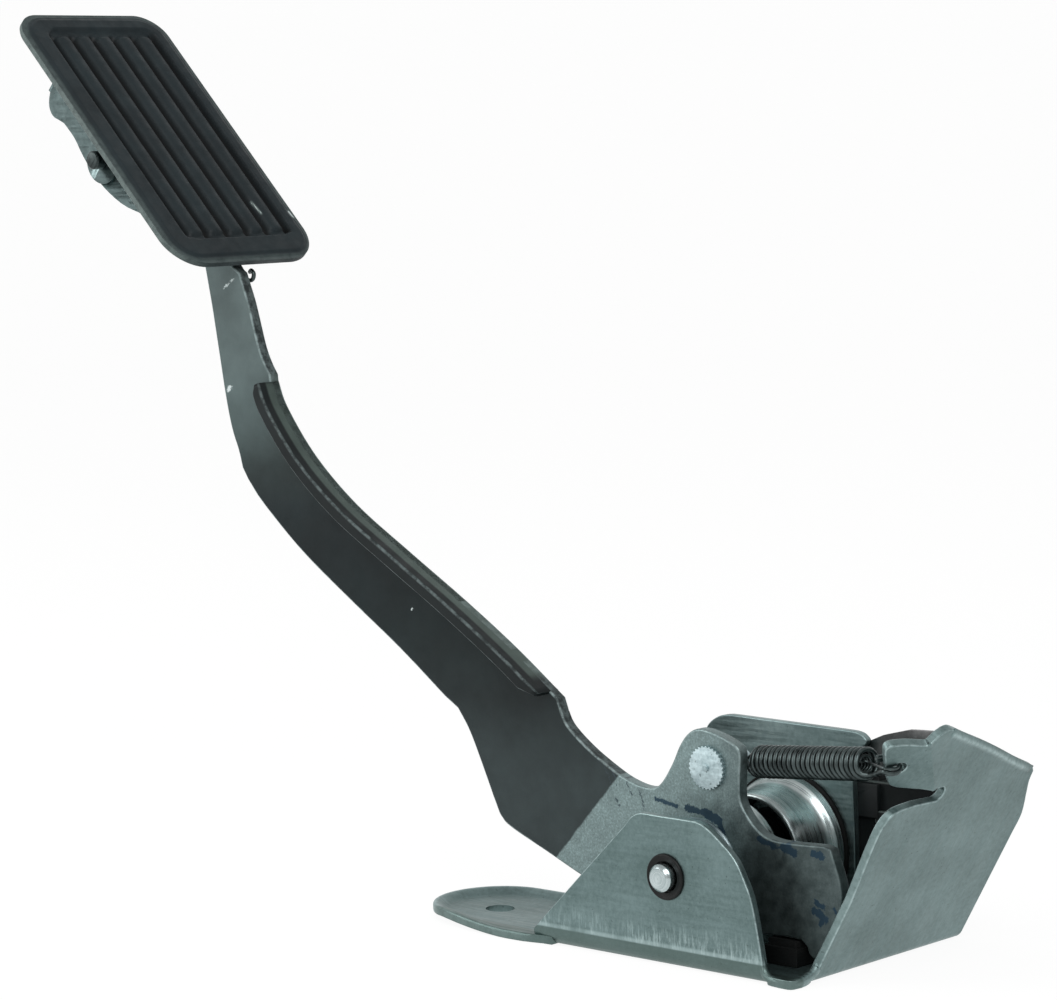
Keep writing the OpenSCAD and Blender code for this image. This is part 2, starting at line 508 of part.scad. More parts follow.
// ---------- pad ----------
// pad frame: X across, Y up the pad, Z out of its face, origin on the hinge pin
module on_pad() { translate([pin_px, pad_cy, pin_pz]) rotate([0, pad_slope - 90, 0]) rotate([90, 0, 90]) children(); }
pad_top = 47.5;              // pad's top end from the pin
pad_face = 20.4;             // pad's face from the pin
back = pad_face - pad_t;     // pad's back face
module rrect(w, y0, y1, r, q) {
  polygon(concat(arc([w / 2 - r, y0 + r], r, -90, 0, 8), arc([w / 2 - q, y1 - q], q, 0, 90, 8),
    arc([-w / 2 + q, y1 - q], q, 90, 180, 8), arc([-w / 2 + r, y0 + r], r, 180, 270, 8)));
}
rib_n = 5;
rib_pitch = 8.5;
rib_shift = 3;
module pad() {
  y0 = pad_top - pad_l; y1 = pad_top;
  translate(datum) color([0.08, 0.09, 0.09]) on_pad() {
    difference() {
      union() {
        translate([0, 0, back]) linear_extrude(pad_t - 1.2) rrect(pad_w, y0, y1, 13, 10);
        translate([0, 0, pad_face - 1.21]) linear_extrude(0.7) rrect(pad_w - 1.6, y0 + 0.8, y1 - 0.8, 12.2, 9.2);
        translate([0, 0, pad_face - 0.52]) linear_extrude(0.52) rrect(pad_w - 4, y0 + 2, y1 - 2, 11, 8);
      }
      translate([rib_shift, 0, pad_face - 1.1]) linear_extrude(3) rrect(rib_pitch * 5.4, y0 + 12, y1 - 7.5, 5, 4);
      // socket for the carrier plate
      translate([0, 0, back - 1]) linear_extrude(3) rrect(pad_w - 14, y0 + 8, y1 - 8, 5, 5);
    }
    // five rounded ribs with six grooves beside them
    intersection() {
      for (i = [0 : rib_n - 1]) translate([rib_shift + (i - 2) * rib_pitch, 0, pad_face - 5.4]) {
        translate([0, y0 + 17.4, 0]) rotate([-90, 0, 0]) cylinder(r = 5.4, h = pad_l - 31.5, $fn = 40);
        translate([0, y0 + 17.4, 0]) sphere(r = 5.4, $fn = 32);
        translate([0, y0 + 17.4 + pad_l - 31.5, 0]) sphere(r = 5.4, $fn = 32);
      }
      translate([-40, -90, pad_face - 1.7]) cube([80, 180, 2]);
    }
  }
}
wall_x = 8.5;  // outer face of the carrier's side walls from the middle
wall_t = 2;
module carrier_wall2() {
  polygon(concat([[-46, back + 0.5]], curve([[-30, 3.6], [-18.5, -3.2], [-9, -6.2], [0, -7.3], [9, -6.6], [15.6, -5.4], [22.5, -5.6]], 3),
    curve([[25, -6.6], [28.2, -7.8], [31.6, -6.8], [34.2, -3.4], [35.4, 2]], 3), [[36.5, back + 0.5]]));
}
module pad_carrier() {
  y0 = pad_top - pad_l; y1 = pad_top;
  translate(datum) color([0.62, 0.66, 0.66]) on_pad() difference() {
    union() {
      translate([0, 0, back]) linear_extrude(wall_t) rrect(pad_w - 14.4, y0 + 8.2, y1 - 8.2, 5, 5);
      for (s = [-1, 1]) translate([s * (wall_x - wall_t / 2) - wall_t / 2, 0, 0]) rotate([90, 0, 90]) linear_extrude(wall_t) carrier_wall2();
      // turned-down end behind the ear
      translate([-wall_x, 33.4, -3]) rotate([-3, 0, 0]) cube([2 * wall_x, wall_t, back + 3.6]);
      // pressed boss on the near wall
      translate([-wall_x - 0.9, 0, 0]) rotate([0, 90, 0]) cylinder(r = 7.8, h = 1);
    }
    translate([-30, 0, 0]) rotate([0, 90, 0]) cylinder(d = pin_d, h = 60);
  }
}
module pad_pin() {
  translate(datum) color([0.2, 0.21, 0.21]) difference() {
    union() {
      ycyl(pin_d, pad_cy - 13.4, pad_cy + wall_x + 3.4, pin_px, pin_pz);
      ycone(pin_d - 1, pin_d, pad_cy - 13.9, pad_cy - 13.4 + e, pin_px, pin_pz);
    }
    difference() { ycyl(pin_d + 2, pad_cy + wall_x + 0.8, pad_cy + wall_x + 1.8, pin_px, pin_pz); ycyl(pin_d - 1.6, 0, 60, pin_px, pin_pz); }
  }
}
module pin_clip() {
  translate(datum) color([0.3, 0.3, 0.3]) difference() {
    ycyl(pin_d + 5, pad_cy + wall_x + 0.9, pad_cy + wall_x + 1.7, pin_px, pin_pz, 32);
    ycyl(pin_d - 1.5, 0, 60, pin_px, pin_pz, 32);
    translate([pin_px - 2, pad_cy, pin_pz]) cube([4, 20, 12]);
  }
}
module pad_spacer() {
  translate(datum) color([0.1, 0.1, 0.1]) difference() {
    ycyl(pin_d + 3, pad_cy + arm_t / 2 + 0.3, pad_cy + wall_x - wall_t, pin_px, pin_pz);
    ycyl(pin_d, 0, 60, pin_px, pin_pz);
  }
}
module pad_spring() {
  r = 6.4; w = 1.4; ya = pad_cy + arm_t / 2 + 1; yb = pad_cy + wall_x - wall_t - 0.9; n = 28;
  u = pad_top - pad_l + 8.2;
  function pp(r, a, y) = [pin_px + r * cos(a), y, pin_pz + r * sin(a)];
  function pu(u, n, y) = [pin_px - u * cos(pad_slope) + n * sin(pad_slope), pad_cy + y, pin_pz + u * sin(pad_slope) + n * cos(pad_slope)];
  translate(datum) color([0.2, 0.21, 0.21]) wire(concat(
    // leg against the carrier's back plate, then the coil round the spacer
    [[pin_px + 4.6, ya, pin_pz + 14.7], [pin_px + 5.6, ya, pin_pz + 7]],
    [for (i = [0 : n]) pp(r, 7 - i * 817 / n, ya + (yb - ya) * i / n)],
    // long leg down the pad, ending in an eye just past the carrier's lower end
    curve([[pin_px + 9, yb, pin_pz - 8.2], pu(u * 0.475, 5.8, 3.2), pu(u * 0.84, 10.2, 3), pu(u - 4, 12.4, 3), pu(u - 11.5, 12, 3), pu(u - 13.2, 13.8, 3),
      pu(u - 12.2, 15.6, 3), pu(u - 10.6, 15, 3.3), pu(u - 10, 13.6, 4.2)], 3)), w, 6);
}

bracket();
rear_plate();
brace_strap();
near_bush();
far_bush();
pedal_arm();
hub_collar();
pivot_shaft();
thrust_washer();
shaft_clip();
drive_drum();
friction_disc();
wave_washer();
damper_cup();
cup_rivets();
spring_stud();
outer_spring();
inner_spring();
idle_stop();
travel_stop();
sensor_housing();
sensor_cover();
sensor_rotor();
sensor_magnet();
sensor_board();
sensor_terminals();
sensor_seal();
sensor_screws();
pad_carrier();
pad();
pad_pin();
pad_spacer();
pad_spring();
pin_clip();
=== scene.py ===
# %% [markdown]
# # Accelerator pedal with position sensor
# A suspended pedal lies on the face that bolts to the bulkhead, seen from the
# pivot's near end: a zinc plated sheet bracket, a black painted arm, a ribbed
# pad and a pair of return springs. The CAD model gives every size and joint.
# This script gives each visible piece its finished surface and its material.

# %% Load the frame
import math
import bpy
import numpy as np
from mathutils import Matrix, Vector
from mathutils.geometry import tessellate_polygon


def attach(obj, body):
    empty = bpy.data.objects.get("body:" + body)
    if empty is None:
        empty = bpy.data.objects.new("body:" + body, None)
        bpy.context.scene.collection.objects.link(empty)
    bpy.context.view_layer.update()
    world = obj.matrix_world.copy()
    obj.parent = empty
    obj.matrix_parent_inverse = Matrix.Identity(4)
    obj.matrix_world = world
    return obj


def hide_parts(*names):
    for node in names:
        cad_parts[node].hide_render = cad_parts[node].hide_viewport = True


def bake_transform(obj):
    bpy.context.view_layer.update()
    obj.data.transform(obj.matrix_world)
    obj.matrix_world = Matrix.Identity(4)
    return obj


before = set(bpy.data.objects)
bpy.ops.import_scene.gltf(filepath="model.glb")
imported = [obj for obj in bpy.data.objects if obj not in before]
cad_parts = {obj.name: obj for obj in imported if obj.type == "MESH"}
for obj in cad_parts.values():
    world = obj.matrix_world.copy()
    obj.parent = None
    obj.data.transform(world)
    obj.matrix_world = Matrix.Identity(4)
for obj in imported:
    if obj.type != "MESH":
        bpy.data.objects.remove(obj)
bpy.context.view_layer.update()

# %% [markdown]
# The source is drawn in millimetres from the corner of the near ear and the
# flap, and then moved so that the origin is the stud hole in the tongue. The
# same two steps are one function here, so every number below can be compared
# with the source's own.

# %% Units and the drawing's origin
DATUM = np.array([128.0, -19.6, 0.0])


def row(points):
    """Millimetres in the drawing to metres in the row frame: add the datum, then divide by 1000."""
    return (np.asarray(points, float) + DATUM) / 1000.0


# %% [markdown]
# A camera that was fitted to the bracket's edges stands almost a metre away,
# turned 43 degrees to the side, 6 degrees above the bench and rolled by a
# degree and a half. A long lens keeps the pad and the bracket nearly parallel,
# as a product photograph does.

# %% Camera
FOCAL_PX, WIDTH_PX, SENSOR_MM = 3500.0, 1057.0, 36.0
turn, pitch, roll = map(math.radians, (43.0, 6.0, -1.5))
back = Vector((math.sin(turn) * math.cos(pitch), -math.cos(turn) * math.cos(pitch), math.sin(pitch)))
side = Vector((math.cos(turn), math.sin(turn), 0.0))
rise = Vector((-math.sin(turn) * math.sin(pitch), math.cos(turn) * math.sin(pitch), math.cos(pitch)))
right = side * math.cos(roll) + rise * math.sin(roll)
up = rise * math.cos(roll) - side * math.sin(roll)
lens = bpy.data.cameras.new("photo_lens")
lens.sensor_fit, lens.sensor_width, lens.lens = "HORIZONTAL", SENSOR_MM, FOCAL_PX / WIDTH_PX * SENSOR_MM
lens.clip_start, lens.clip_end = 0.01, 20.0
camera = bpy.data.objects.new("camera", lens)
spot = row([593.4, -736.6, 236.6])
camera.matrix_world = Matrix((right, up, back)).transposed().to_4x4()
camera.matrix_world.translation = spot
bpy.context.scene.collection.objects.link(camera)
bpy.context.scene.camera = camera
print("camera at", [round(v, 3) for v in spot])

# %% [markdown]
# ## Materials
# Each finish is a small tree of nodes. One helper adds a node, sets its
# properties and feeds its sockets, so a tree reads from the pattern to the
# shader. Colours are picked as hex values on a screen, so one function turns
# them to the linear values that the shader wants. A Map Range node that eases
# in and out at both ends hides where a pattern starts, so that setting has a
# name of its own.

# %% Helpers for materials
SMOOTH = {"interpolation_type": "SMOOTHSTEP"}


def linear(hex_colour, alpha=1.0):
    """sRGB hex to linear: a channel c becomes ((c + 0.055) / 1.055) ** 2.4, or c / 12.92 where it is
    dark."""
    c = np.array([int(hex_colour[i:i + 2], 16) for i in (1, 3, 5)]) / 255.0
    return (*np.where(c > 0.04045, ((c + 0.055) / 1.055) ** 2.4, c / 12.92).tolist(), alpha)


def put(tree, kind, feeds=None, stops=(), **settings):
    """Adds one shader node of a kind, such as Math or BsdfPrincipled. settings are its properties; feeds
    gives a socket a value, a hex colour, or another node or output to link; stops fills a colour ramp with
    (position, hex colour or grey)."""
    node = tree.nodes.new("ShaderNode" + kind)
    for key, value in settings.items():
        setattr(node, key, value)
    for key, value in (feeds or {}).items():
        if isinstance(value, str):
            value = linear(value)
        if isinstance(value, bpy.types.Node):
            value = next(o for o in value.outputs if o.enabled)
        if isinstance(value, bpy.types.NodeSocket):
            tree.links.new(value, node.inputs[key])
        else:
            node.inputs[key].default_value = value
    while stops and len(node.color_ramp.elements) < len(stops):
        node.color_ramp.elements.new(0.5)
    for i, (place, colour) in enumerate(stops):
        node.color_ramp.elements[i].position = place
        node.color_ramp.elements[i].color = (
            linear(colour) if isinstance(colour, str) else (colour, colour, colour, 1.0)
        )
    return node


def new_material(name):
    """An empty material with its output; returns (material, tree, output, the object's own coordinates)."""
    material = bpy.data.materials.new(name)
    material.use_nodes = True
    tree = material.node_tree
    tree.nodes.clear()
    return material, tree, put(tree, "OutputMaterial"), put(tree, "TexCoord").outputs["Object"]


def finish_with(tree, output, shader):
    """Feeds the shader to the material's output."""
    tree.links.new(shader.outputs[0], output.inputs["Surface"])


def grain(tree, where, size_mm, stretch=(1.0, 1.0, 1.0), detail=3.0, rough=0.55):
    """Noise whose blobs are about size_mm across, drawn out along an axis by a stretch above 1."""
    scaled = put(tree, "Mapping", {"Vector": where, "Scale": tuple(1.0 / s for s in stretch)})
    return put(tree, "TexNoise", {
        "Vector": scaled, "Scale": 1000.0 / size_mm, "Detail": detail, "Roughness": rough
    })


def stroke(tree, flat, a, b, wide_mm, soft_mm=0.3):
    """1 on a stroke from a to b (x, z in the drawing), 0 beyond its width: the distance from p to the
    nearest point of the line, a + clamp((p - a) . (b - a) / |b - a|^2) (b - a)."""
    (x0, z0), (x1, z1) = a, b
    start, step = row([x0, 0, z0]), np.array([x1 - x0, 0.0, z1 - z0]) / 1000.0
    rel = put(tree, "VectorMath", {0: flat, 1: (start[0], 0.0, start[2])}, operation="SUBTRACT")
    share = put(
        tree, "VectorMath", {0: rel, 1: tuple(step / max(step @ step, 1e-12))}, operation="DOT_PRODUCT"
    ).outputs["Value"]
    held = put(tree, "Clamp", {"Value": share})
    near = put(tree, "VectorMath", {0: tuple(step), "Scale": held}, operation="SCALE")
    off = put(tree, "VectorMath", {0: rel, 1: near}, operation="DISTANCE").outputs["Value"]
    return put(tree, "MapRange", {
        "Value": off, "From Min": (wide_mm / 2 + soft_mm) / 1000.0,
        "From Max": max(wide_mm / 2 - soft_mm, 0.0) / 1000.0
    }, **SMOOTH)


# %% [markdown]
# ### Zinc plated sheet
# The bracket is pressed from cold rolled steel and then electroplated with
# zinc. Bright zinc would mirror the room; this one is satin with a greenish
# passivation, darker than the metal itself, mottled in soft patches. Rolling
# lines run along the ear and up the flap, so the side that a face looks to
# picks their direction. The wear attribute is 1 on the rounded edges, where
# handling has rubbed the passivation bright. On the near side the press tool
# has drawn bright threads up the ear just over the fold. The fold under its
# crest is painted darker as shade, and a bright line along the crest is a
# painted highlight. The rear plate and the pad's carrier take a lighter copy
# of this zinc without those marks: painted light that makes up for the shade
# they stand in. The stud's peened head is the same zinc with its passivation
# hammered off, so it is the brightest and roughest.

# %% Zinc plated sheet


def zinc_sheet(name, light, dark, worn_and_highlight, rough=(0.36, 0.54), fold_marks_and_light=False):
    """Satin zinc: colour from 22 mm patches, 1.5 mm mottle and 0.55 mm lines, roughness from the lines,
    bump from 0.4 mm grain. fold_marks_and_light adds the threads over the fold, painted shade under the
    fold's crest and a painted highlight along it: each is a product of ranges of height and of the near
    side."""
    material, tree, output, where = new_material(name)
    looks = put(tree, "SeparateXYZ", {0: put(tree, "TexCoord").outputs["Normal"]})
    sideways = put(tree, "Math", {0: looks.outputs["Y"]}, operation="ABSOLUTE")
    on_ear = put(tree, "Math", {0: sideways, 1: 0.7}, operation="GREATER_THAN")
    along_ear = grain(tree, where, 0.55, stretch=(28.0, 1.0, 1.6), detail=2.0)
    up_flap = grain(tree, where, 0.55, stretch=(28.0, 1.0, 28.0), detail=2.0)
    lines = put(tree, "Mix", {"Factor": on_ear, "A": up_flap, "B": along_ear})
    patches = put(tree, "Math", {0: grain(tree, where, 22.0, detail=3.0), 1: 0.42}, operation="MULTIPLY")
    mottle = put(
        tree, "Math", {0: grain(tree, where, 1.5, detail=4.0, rough=0.7), 1: 0.34}, operation="MULTIPLY"
    )
    fine = put(tree, "Math", {0: lines, 1: 0.24}, operation="MULTIPLY")
    uneven = put(tree, "Math", {0: patches, 1: mottle}, operation="ADD")
    tone = put(tree, "ValToRGB", {
        "Fac": put(tree, "Math", {0: uneven, 1: fine}, operation="ADD")
    }, [(0.40, dark), (0.60, light)])
    specks = put(
        tree, "ValToRGB", {"Fac": grain(tree, where, 1.1, detail=1.0)}, [(0.245, 0.55), (0.27, 0.0)]
    )
    colour = put(tree, "Mix", {"Factor": specks, "A": tone, "B": "#46524f"}, data_type="RGBA")
    edge = put(tree, "Attribute", attribute_name="wear").outputs["Fac"]
    patchy = put(tree, "MapRange", {
        "Value": grain(tree, where, 2.2, detail=4.0, rough=0.7), "From Min": 0.30, "From Max": 0.62,
        "To Min": 0.35, "To Max": 1.0
    }, **SMOOTH)
    rubbed = put(tree, "Math", {0: edge, 1: patchy}, operation="MULTIPLY")
    most = put(tree, "Math", {0: rubbed, 1: 0.78}, operation="MULTIPLY")
    colour = put(tree, "Mix", {"Factor": most, "A": colour, "B": worn_and_highlight}, data_type="RGBA")
    if fold_marks_and_light:
        place = put(tree, "SeparateXYZ", {0: where})
        low = put(tree, "MapRange", {
            "Value": place.outputs["Z"], "From Min": 0.0150, "From Max": 0.0062
        }, **SMOOTH)
        over_fold = put(tree, "MapRange", {
            "Value": place.outputs["Z"], "From Min": 0.0052, "From Max": 0.0058
        }, **SMOOTH)
        near_side = put(tree, "MapRange", {
            "Value": place.outputs["Y"], "From Min": -0.0180, "From Max": -0.0192
        }, **SMOOTH)
        threads = put(tree, "MapRange", {
            "Value": grain(tree, where, 0.9, stretch=(1.0, 1.0, 5.0), detail=5.0, rough=0.7),
            "From Min": 0.44, "From Max": 0.72, "To Min": 0.0, "To Max": 0.8
        }, **SMOOTH)
        blooms = put(tree, "MapRange", {
            "Value": grain(tree, where, 11.0, detail=2.0), "From Min": 0.34, "From Max": 0.56,
            "To Min": 0.25, "To Max": 1.0
        }, **SMOOTH)
        band = put(tree, "Math", {0: low, 1: over_fold}, operation="MULTIPLY")
        tufts = put(tree, "Math", {0: threads, 1: blooms}, operation="MULTIPLY")
        near_tufts = put(tree, "Math", {0: near_side, 1: tufts}, operation="MULTIPLY")
        drawn = put(tree, "Math", {0: band, 1: near_tufts}, operation="MULTIPLY")
        colour = put(tree, "Mix", {"Factor": drawn, "A": colour, "B": worn_and_highlight}, data_type="RGBA")
        # painted shade: the fold's underside below its crest is darkened
        under_crest = put(tree, "MapRange", {
            "Value": place.outputs["Z"], "From Min": 0.0057, "From Max": 0.0051
        }, **SMOOTH)
        at_fold = put(tree, "MapRange", {
            "Value": place.outputs["Y"], "From Min": -0.0150, "From Max": -0.0165
        }, **SMOOTH)
        fold = put(tree, "Math", {0: under_crest, 1: at_fold}, operation="MULTIPLY")
        painted_fold_shade = put(tree, "Math", {0: fold, 1: 0.6}, operation="MULTIPLY")
        colour = put(tree, "Mix", {"Factor": painted_fold_shade, "A": colour, "B": "#54645f"}, data_type="RGBA")
        # painted highlight: a bright line along the fold's crest on the near side
        crest_top = put(tree, "MapRange", {
            "Value": place.outputs["Z"], "From Min": 0.0070, "From Max": 0.0061
        }, **SMOOTH)
        crest_low = put(tree, "MapRange", {
            "Value": place.outputs["Z"], "From Min": 0.0052, "From Max": 0.0057
        }, **SMOOTH)
        crest = put(tree, "Math", {0: crest_low, 1: crest_top}, operation="MULTIPLY")
        near_crest = put(tree, "Math", {0: crest, 1: near_side}, operation="MULTIPLY")
        faint = put(tree, "Math", {0: blooms, 1: 0.5}, operation="MULTIPLY")
        painted_crest_highlight = put(tree, "Math", {0: near_crest, 1: faint}, operation="MULTIPLY")
        colour = put(tree, "Mix", {"Factor": painted_crest_highlight, "A": colour, "B": worn_and_highlight}, data_type="RGBA")
    polish = put(tree, "MapRange", {
        "Value": lines, "From Min": 0.3, "From Max": 0.7, "To Min": rough[0], "To Max": rough[1]
    }, **SMOOTH)
    ripple = put(
        tree, "Bump", {"Height": grain(tree, where, 0.4, detail=2.0), "Distance": 0.00004, "Strength": 0.3}
    )
    shader = put(tree, "BsdfPrincipled", {
        "Base Color": colour, "Metallic": 1.0, "Roughness": polish, "Normal": ripple
    })
    finish_with(tree, output, shader)
    return material


zinc = zinc_sheet("zinc_plated_sheet", "#768a8a", "#5e7170", "#adc1c1", fold_marks_and_light=True)
# a lighter copy of the zinc is painted light for the rear plate and the pad's carrier, which stand in shade
zinc_lightened_for_shade = zinc_sheet("zinc_plated_lightened_for_shade", "#94a7a7", "#748787", "#a9bcbc")
nail_head = zinc_sheet("peened_stud_head", "#cfe0e3", "#8ba0a4", "#e3eff1", (0.46, 0.62))

# %% [markdown]
# ### Painted arm
# Satin black dip paint over phosphate, worn to a slightly green dark grey. The
# flat faces go from grey near the pad to almost black half way down and a
# little lighter again by the hub, which a colour ramp over the height gives.
# The sheared walls are painted black as shade, the folded flange's long wall,
# which faces up to the light, is painted grey as a reflection, and its near
# rim is painted dark as shade. Below a straight edge across the arm the paint
# was masked off for the pivot's assembly, and the phosphated steel shows:
# lighter, finely speckled and scratched. Towards the hub, deep between the ear
# and the flap, it is painted darker as shade, and its rubbed edges fade there.
# The paint's edge is a plane through a point of the arm, so it is a dot
# product. Blue dabs of an inspector's paint lie round the hub, and each dab,
# scratch or chip is a stroke between two points with a frayed outline. The
# 0.65 mm speckle is drawn coarser than real phosphate crystals, which would be
# too fine to see.

# %% Painted arm
DABS = [
    ((-60, 44.4), (-52, 43.2), 1.3), ((-48, 43.0), (-41, 42.6), 2.2), ((-40.5, 42.2), (-36.5, 40.6), 2.9),
    ((-37.0, 40.8), (-34.8, 37.4), 2.0), ((-21.6, 37.3), (-16.2, 35.6), 1.9),
    ((-15.6, 35.7), (-13.6, 35.4), 0.9), ((-13.0, 35.9), (-9.4, 34.7), 2.7),
    ((-11.2, 37.0), (-10.6, 35.2), 1.4), ((-2.6, 35.4), (0.6, 34.9), 2.1), ((-1.8, 21.8), (0.8, 20.6), 1.6),
    ((-2.4, 19.2), (1.6, 17.4), 2.4), ((0.4, 17.8), (-0.2, 15.4), 1.5), ((4.6, 20.6), (5.8, 19.0), 1.2)
]
SCRATCHES = [
    ((-79.6, 53.0), (-77.0, 46.5), 0.35), ((-78.0, 54.0), (-75.4, 48.2), 0.5),
    ((-76.2, 51.6), (-74.6, 46.0), 0.4), ((-75.4, 43.0), (-74.0, 40.8), 0.6),
    ((-72.4, 50.6), (-68.8, 44.6), 0.5), ((-70.6, 52.6), (-67.6, 49.6), 0.4),
    ((-66.0, 46.6), (-64.6, 40.6), 0.4)
]
CHIPS = [
    ((-236.6, 157.4), (-235.8, 158.2), 1.5), ((-237.4, 189.6), (-234.4, 191.6), 0.55),
    ((-234.6, 191.5), (-232.2, 192.4), 0.5), ((-157.0, 92.2), (-156.4, 92.8), 0.6)
]


def painted_arm(name, border_point, border_normal):
    """Paint where (p - border_point) . border_normal is below 0, speckled phosphate above it."""
    material, tree, output, where = new_material(name)
    flat = put(tree, "VectorMath", {0: where, 1: (1.0, 0.0, 1.0)}, operation="MULTIPLY")
    offset = put(tree, "VectorMath", {0: where, 1: tuple(row(border_point))}, operation="SUBTRACT")
    across = put(
        tree, "VectorMath", {0: offset, 1: tuple(border_normal)}, operation="DOT_PRODUCT"
    ).outputs["Value"]
    waver = put(tree, "Math", {0: grain(tree, where, 2.2, detail=3.0), 1: 0.0009}, operation="MULTIPLY")
    edge = put(tree, "Math", {0: across, 1: waver}, operation="ADD")
    bare = put(tree, "MapRange", {"Value": edge, "From Min": 0.0001, "From Max": 0.0008}, **SMOOTH)
    place = put(tree, "SeparateXYZ", {0: where})
    looks = put(tree, "SeparateXYZ", {0: put(tree, "TexCoord").outputs["Normal"]})
    facing = put(tree, "Math", {0: looks.outputs["Y"]}, operation="ABSOLUTE")
    down_arm = put(tree, "MapRange", {"Value": place.outputs["Z"], "From Min": 0.030, "From Max": 0.200})
    face = put(tree, "ValToRGB", {"Fac": down_arm}, [
        (0.0, "#313a3b"), (0.12, "#2e3738"), (0.22, "#1e2627"), (0.33, "#162021"), (0.47, "#131c1e"),
        (0.54, "#192224"), (0.61, "#2b3535"), (0.69, "#4a5757"), (0.80, "#536060"), (0.95, "#586565")
    ])
    # painted light and shade on the walls: the flange's long wall, facing up to the light, is painted grey
    # as a reflection, the other sheared walls black as shade
    fold_starts = put(
        tree, "MapRange", {"Value": place.outputs["X"], "From Min": -0.0905, "From Max": -0.0880}, **SMOOTH
    )
    fold_ends = put(
        tree, "MapRange", {"Value": place.outputs["X"], "From Min": 0.0240, "From Max": 0.0200}, **SMOOTH
    )
    lit_fold_wall = put(tree, "Math", {0: fold_starts, 1: fold_ends}, operation="MULTIPLY")
    wall_shade_and_sheen = put(tree, "Mix", {"Factor": lit_fold_wall, "A": "#151b1c", "B": "#47534f"}, data_type="RGBA")
    on_face = put(tree, "MapRange", {"Value": facing, "From Min": 0.35, "From Max": 0.65}, **SMOOTH)
    toned = put(tree, "Mix", {"Factor": on_face, "A": wall_shade_and_sheen, "B": face}, data_type="RGBA")
    # painted shade along the flange's near rim
    near_rim_shade = put(
        tree, "MapRange", {"Value": place.outputs["Y"], "From Min": -0.0068, "From Max": -0.0078}, **SMOOTH
    )
    toned = put(tree, "Mix", {"Factor": near_rim_shade, "A": toned, "B": "#161c1d"}, data_type="RGBA")
    cloud = put(tree, "MapRange", {
        "Value": grain(tree, where, 16.0, detail=6.0, rough=0.62), "From Min": 0.32, "From Max": 0.70,
        "To Min": 0.80, "To Max": 1.22
    })
    paint = put(
        tree, "Mix", {"Factor": 1.0, "A": toned, "B": cloud}, data_type="RGBA", blend_type="MULTIPLY"
    )
    speckle = put(tree, "ValToRGB", {"Fac": grain(tree, where, 0.65, detail=3.0, rough=0.65)}, [
        (0.30, "#6b7b7b"), (0.52, "#7b8d8d"), (0.70, "#90a2a2")
    ])
    stains = put(tree, "MapRange", {
        "Value": grain(tree, where, 6.0, detail=5.0, rough=0.65), "From Min": 0.32, "From Max": 0.68,
        "To Min": 0.84, "To Max": 1.2
    })
    speckle = put(
        tree, "Mix", {"Factor": 1.0, "A": speckle, "B": stains}, data_type="RGBA", blend_type="MULTIPLY"
    )
    # painted shade: the bare lobe by the hub, deep between the ear and the flap, is darkened
    lobe_shade_share = put(tree, "MapRange", {
        "Value": place.outputs["X"], "From Min": 0.082, "From Max": 0.113, "To Min": 0.0, "To Max": 0.82
    }, **SMOOTH)
    lobe_shade_tone = put(
        tree, "ValToRGB", {"Fac": grain(tree, where, 3.0, detail=4.0)},
        [(0.35, "#3c4546"), (0.65, "#525c5c")]
    )
    phosphate_and_shade = put(tree, "Mix", {"Factor": lobe_shade_share, "A": speckle, "B": lobe_shade_tone}, data_type="RGBA")
    colour = put(tree, "Mix", {"Factor": bare, "A": paint, "B": phosphate_and_shade}, data_type="RGBA")
    noise = grain(tree, flat, 1.6, detail=4.0, rough=0.7).outputs["Color"]
    centred = put(tree, "VectorMath", {0: noise, 1: (0.5, 0.5, 0.5)}, operation="SUBTRACT")
    shift = put(tree, "VectorMath", {0: centred, "Scale": 0.0032}, operation="SCALE")
    frayed = put(tree, "VectorMath", {0: flat, 1: shift}, operation="ADD")
    for strokes, tint in ((DABS, "#2c4150"), (SCRATCHES, "#39444a"), (CHIPS, "#c9d4d4")):
        mask = 0.0
        for a, b, wide in strokes:
            mask = put(
                tree, "Math", {0: mask, 1: stroke(tree, frayed, a, b, wide, 0.2)}, operation="MAXIMUM"
            )
        opaque = put(tree, "Math", {0: mask, 1: 0.92}, operation="MULTIPLY")
        colour = put(tree, "Mix", {"Factor": opaque, "A": colour, "B": tint}, data_type="RGBA")
    wear = put(tree, "Attribute", attribute_name="wear").outputs["Fac"]
    patchy = put(tree, "MapRange", {
        "Value": grain(tree, where, 3.0, detail=5.0, rough=0.7), "From Min": 0.36, "From Max": 0.64,
        "To Min": 0.15, "To Max": 0.9
    }, **SMOOTH)
    # the rubbed edges fade on the lobe that stands in shade
    off_shaded_lobe = put(tree, "MapRange", {
        "Value": place.outputs["X"], "From Min": 0.098, "From Max": 0.112, "To Min": 1.0, "To Max": 0.18
    }, **SMOOTH)
    rubbed = put(tree, "Math", {0: wear, 1: patchy}, operation="MULTIPLY")
    rubbed = put(tree, "Math", {0: rubbed, 1: off_shaded_lobe}, operation="MULTIPLY")
    colour = put(tree, "Mix", {"Factor": rubbed, "A": colour, "B": "#93a3a3"}, data_type="RGBA")
    peel = put(
        tree, "Bump", {"Height": grain(tree, where, 0.7, detail=2.0), "Distance": 0.00005, "Strength": 0.35}
    )
    dull = put(tree, "MapRange", {
        "Value": grain(tree, where, 6.0, detail=4.0), "From Min": 0.25, "From Max": 0.75, "To Min": 0.42,
        "To Max": 0.58
    }, **SMOOTH)
    metal = put(tree, "Math", {0: bare, 1: 0.9}, operation="MULTIPLY")
    shader = put(tree, "BsdfPrincipled", {
        "Base Color": colour, "Metallic": metal, "Roughness": dull, "Specular IOR Level": 0.17,
        "Normal": peel
    })
    finish_with(tree, output, shader)
    return material


